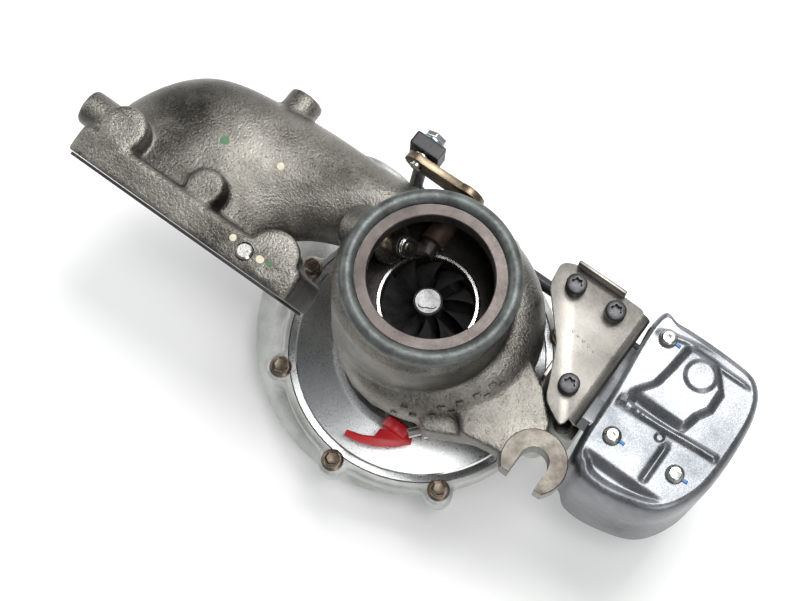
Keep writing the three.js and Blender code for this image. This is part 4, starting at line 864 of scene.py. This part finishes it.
def shield_edge(share):
    """The shield's rounded outline at a share of the way round."""
    count = len(SHIELD_EDGE)
    place = share * count
    i = int(place) % count
    a, b, c, d = (Vector(SHIELD_EDGE[(i + k) % count]) for k in (-1, 0, 1, 2))
    return spline(a, b, c, d, place - int(place))


AROUND, ACROSS = ((320, 84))
# The skirt's way down from the table's rim: how far in from the outline, and how far down.
wall = [(5, 0), (3.6, 0.5), (2.4, 1.6), (1.7, 3), (1.2, 5), (0.6, 9), (0.4, 13), (0.4, 26), (0.4, 45),
        (0.4, 64.8)]
shield = bmesh.new()
rows = []
for k in range(AROUND):
    edge = shield_edge(k / AROUND)
    reach = (edge - SHIELD_MIDDLE).length
    out = (edge - SHIELD_MIDDLE) / reach
    row = []
    for j in range(1, ACROSS + 1):
        x, y = SHIELD_MIDDLE + out * ((reach - 5.2) * j / ACROSS)
        fade = 1 - ease(j / ACROSS, 0.9, 1)
        row.append(shield.verts.new((x, y, SHIELD_TOP - 0.1 + stamped(x, y) * fade)))
    for inset, drop in wall:
        x, y = SHIELD_MIDDLE + out * (reach - inset - 0.2)
        row.append(shield.verts.new((x, y, SHIELD_TOP - 0.1 - drop)))
    rows.append(row)
hub = shield.verts.new((*SHIELD_MIDDLE, SHIELD_TOP - 0.1 + stamped(*SHIELD_MIDDLE)))
for k in range(AROUND):
    near, far = rows[k], rows[(k + 1) % AROUND]
    shield.faces.new((hub, near[0], far[0]))
    for j in range(len(near) - 1):
        shield.faces.new((near[j], near[j + 1], far[j + 1], far[j]))
bmesh.ops.recalc_face_normals(shield, faces=shield.faces)


def in_open_side(spot):
    """Whether a place is in the gap that the bracket and the lever pass through."""
    return spot.x < 95.5 and 1 < spot.y < 56 and spot.z < 126.8


opening = [face for face in shield.faces if in_open_side(face.calc_center_median())]
bmesh.ops.delete(shield, geom=opening, context="FACES")
shield = through_modifier(shield, "SOLIDIFY", thickness=1.1, offset=-1)
# Aluminised sheet: satin grey with a soft sheen that breaks at each crease.
aluminised = surface("pressed_aluminised_sheet", "#85878a", "#54575a", 0.9, 0.4, 30, 1, 0.07)
finish("stamped_heat_shield", shield, [aluminised], "heat_shield", sharp=60)

blue_paint = surface("blue_marking_paint", "#2f6fb0", "#255a92", 0, 0.5, 5, 0.6, 0.01)
for number in (1, 2, 3):
    node = f"shield_screw_{number}"
    low, high = corners(node)
    middle = (low + high) / 2
    seat, tall = SHIELD_TOP + 0.3, high.z - SHIELD_TOP - 0.3
    dome = [(0, low.z), (1.6, low.z), (1.6, seat), (4.4, seat), (4.4, seat + 0.6),
            (3.9, seat + 0.55 * tall), (2.6, seat + 0.9 * tall), (0, seat + tall)]
    screw = shape(lathe, dome, 56, (middle.x, middle.y))
    slot_cut = shape(lathe, [(0, seat + 0.8), (1.3, seat + 0.8), (1.3, seat + 9), (0, seat + 9)], 6,
                     (middle.x, middle.y))
    finish(node + "_domed", carve(screw, slot_cut), [bright_steel], node)
    dash = bmesh.new()
    soften(dash, block(dash, (middle.x + 3.2, middle.y - 0.7, SHIELD_TOP - 0.2),
                       (middle.x + 6.8, middle.y + 0.7, SHIELD_TOP + 0.75)), 0.2)
    finish(f"blue_paint_dash_{number}", dash, [blue_paint], node, stands=False)
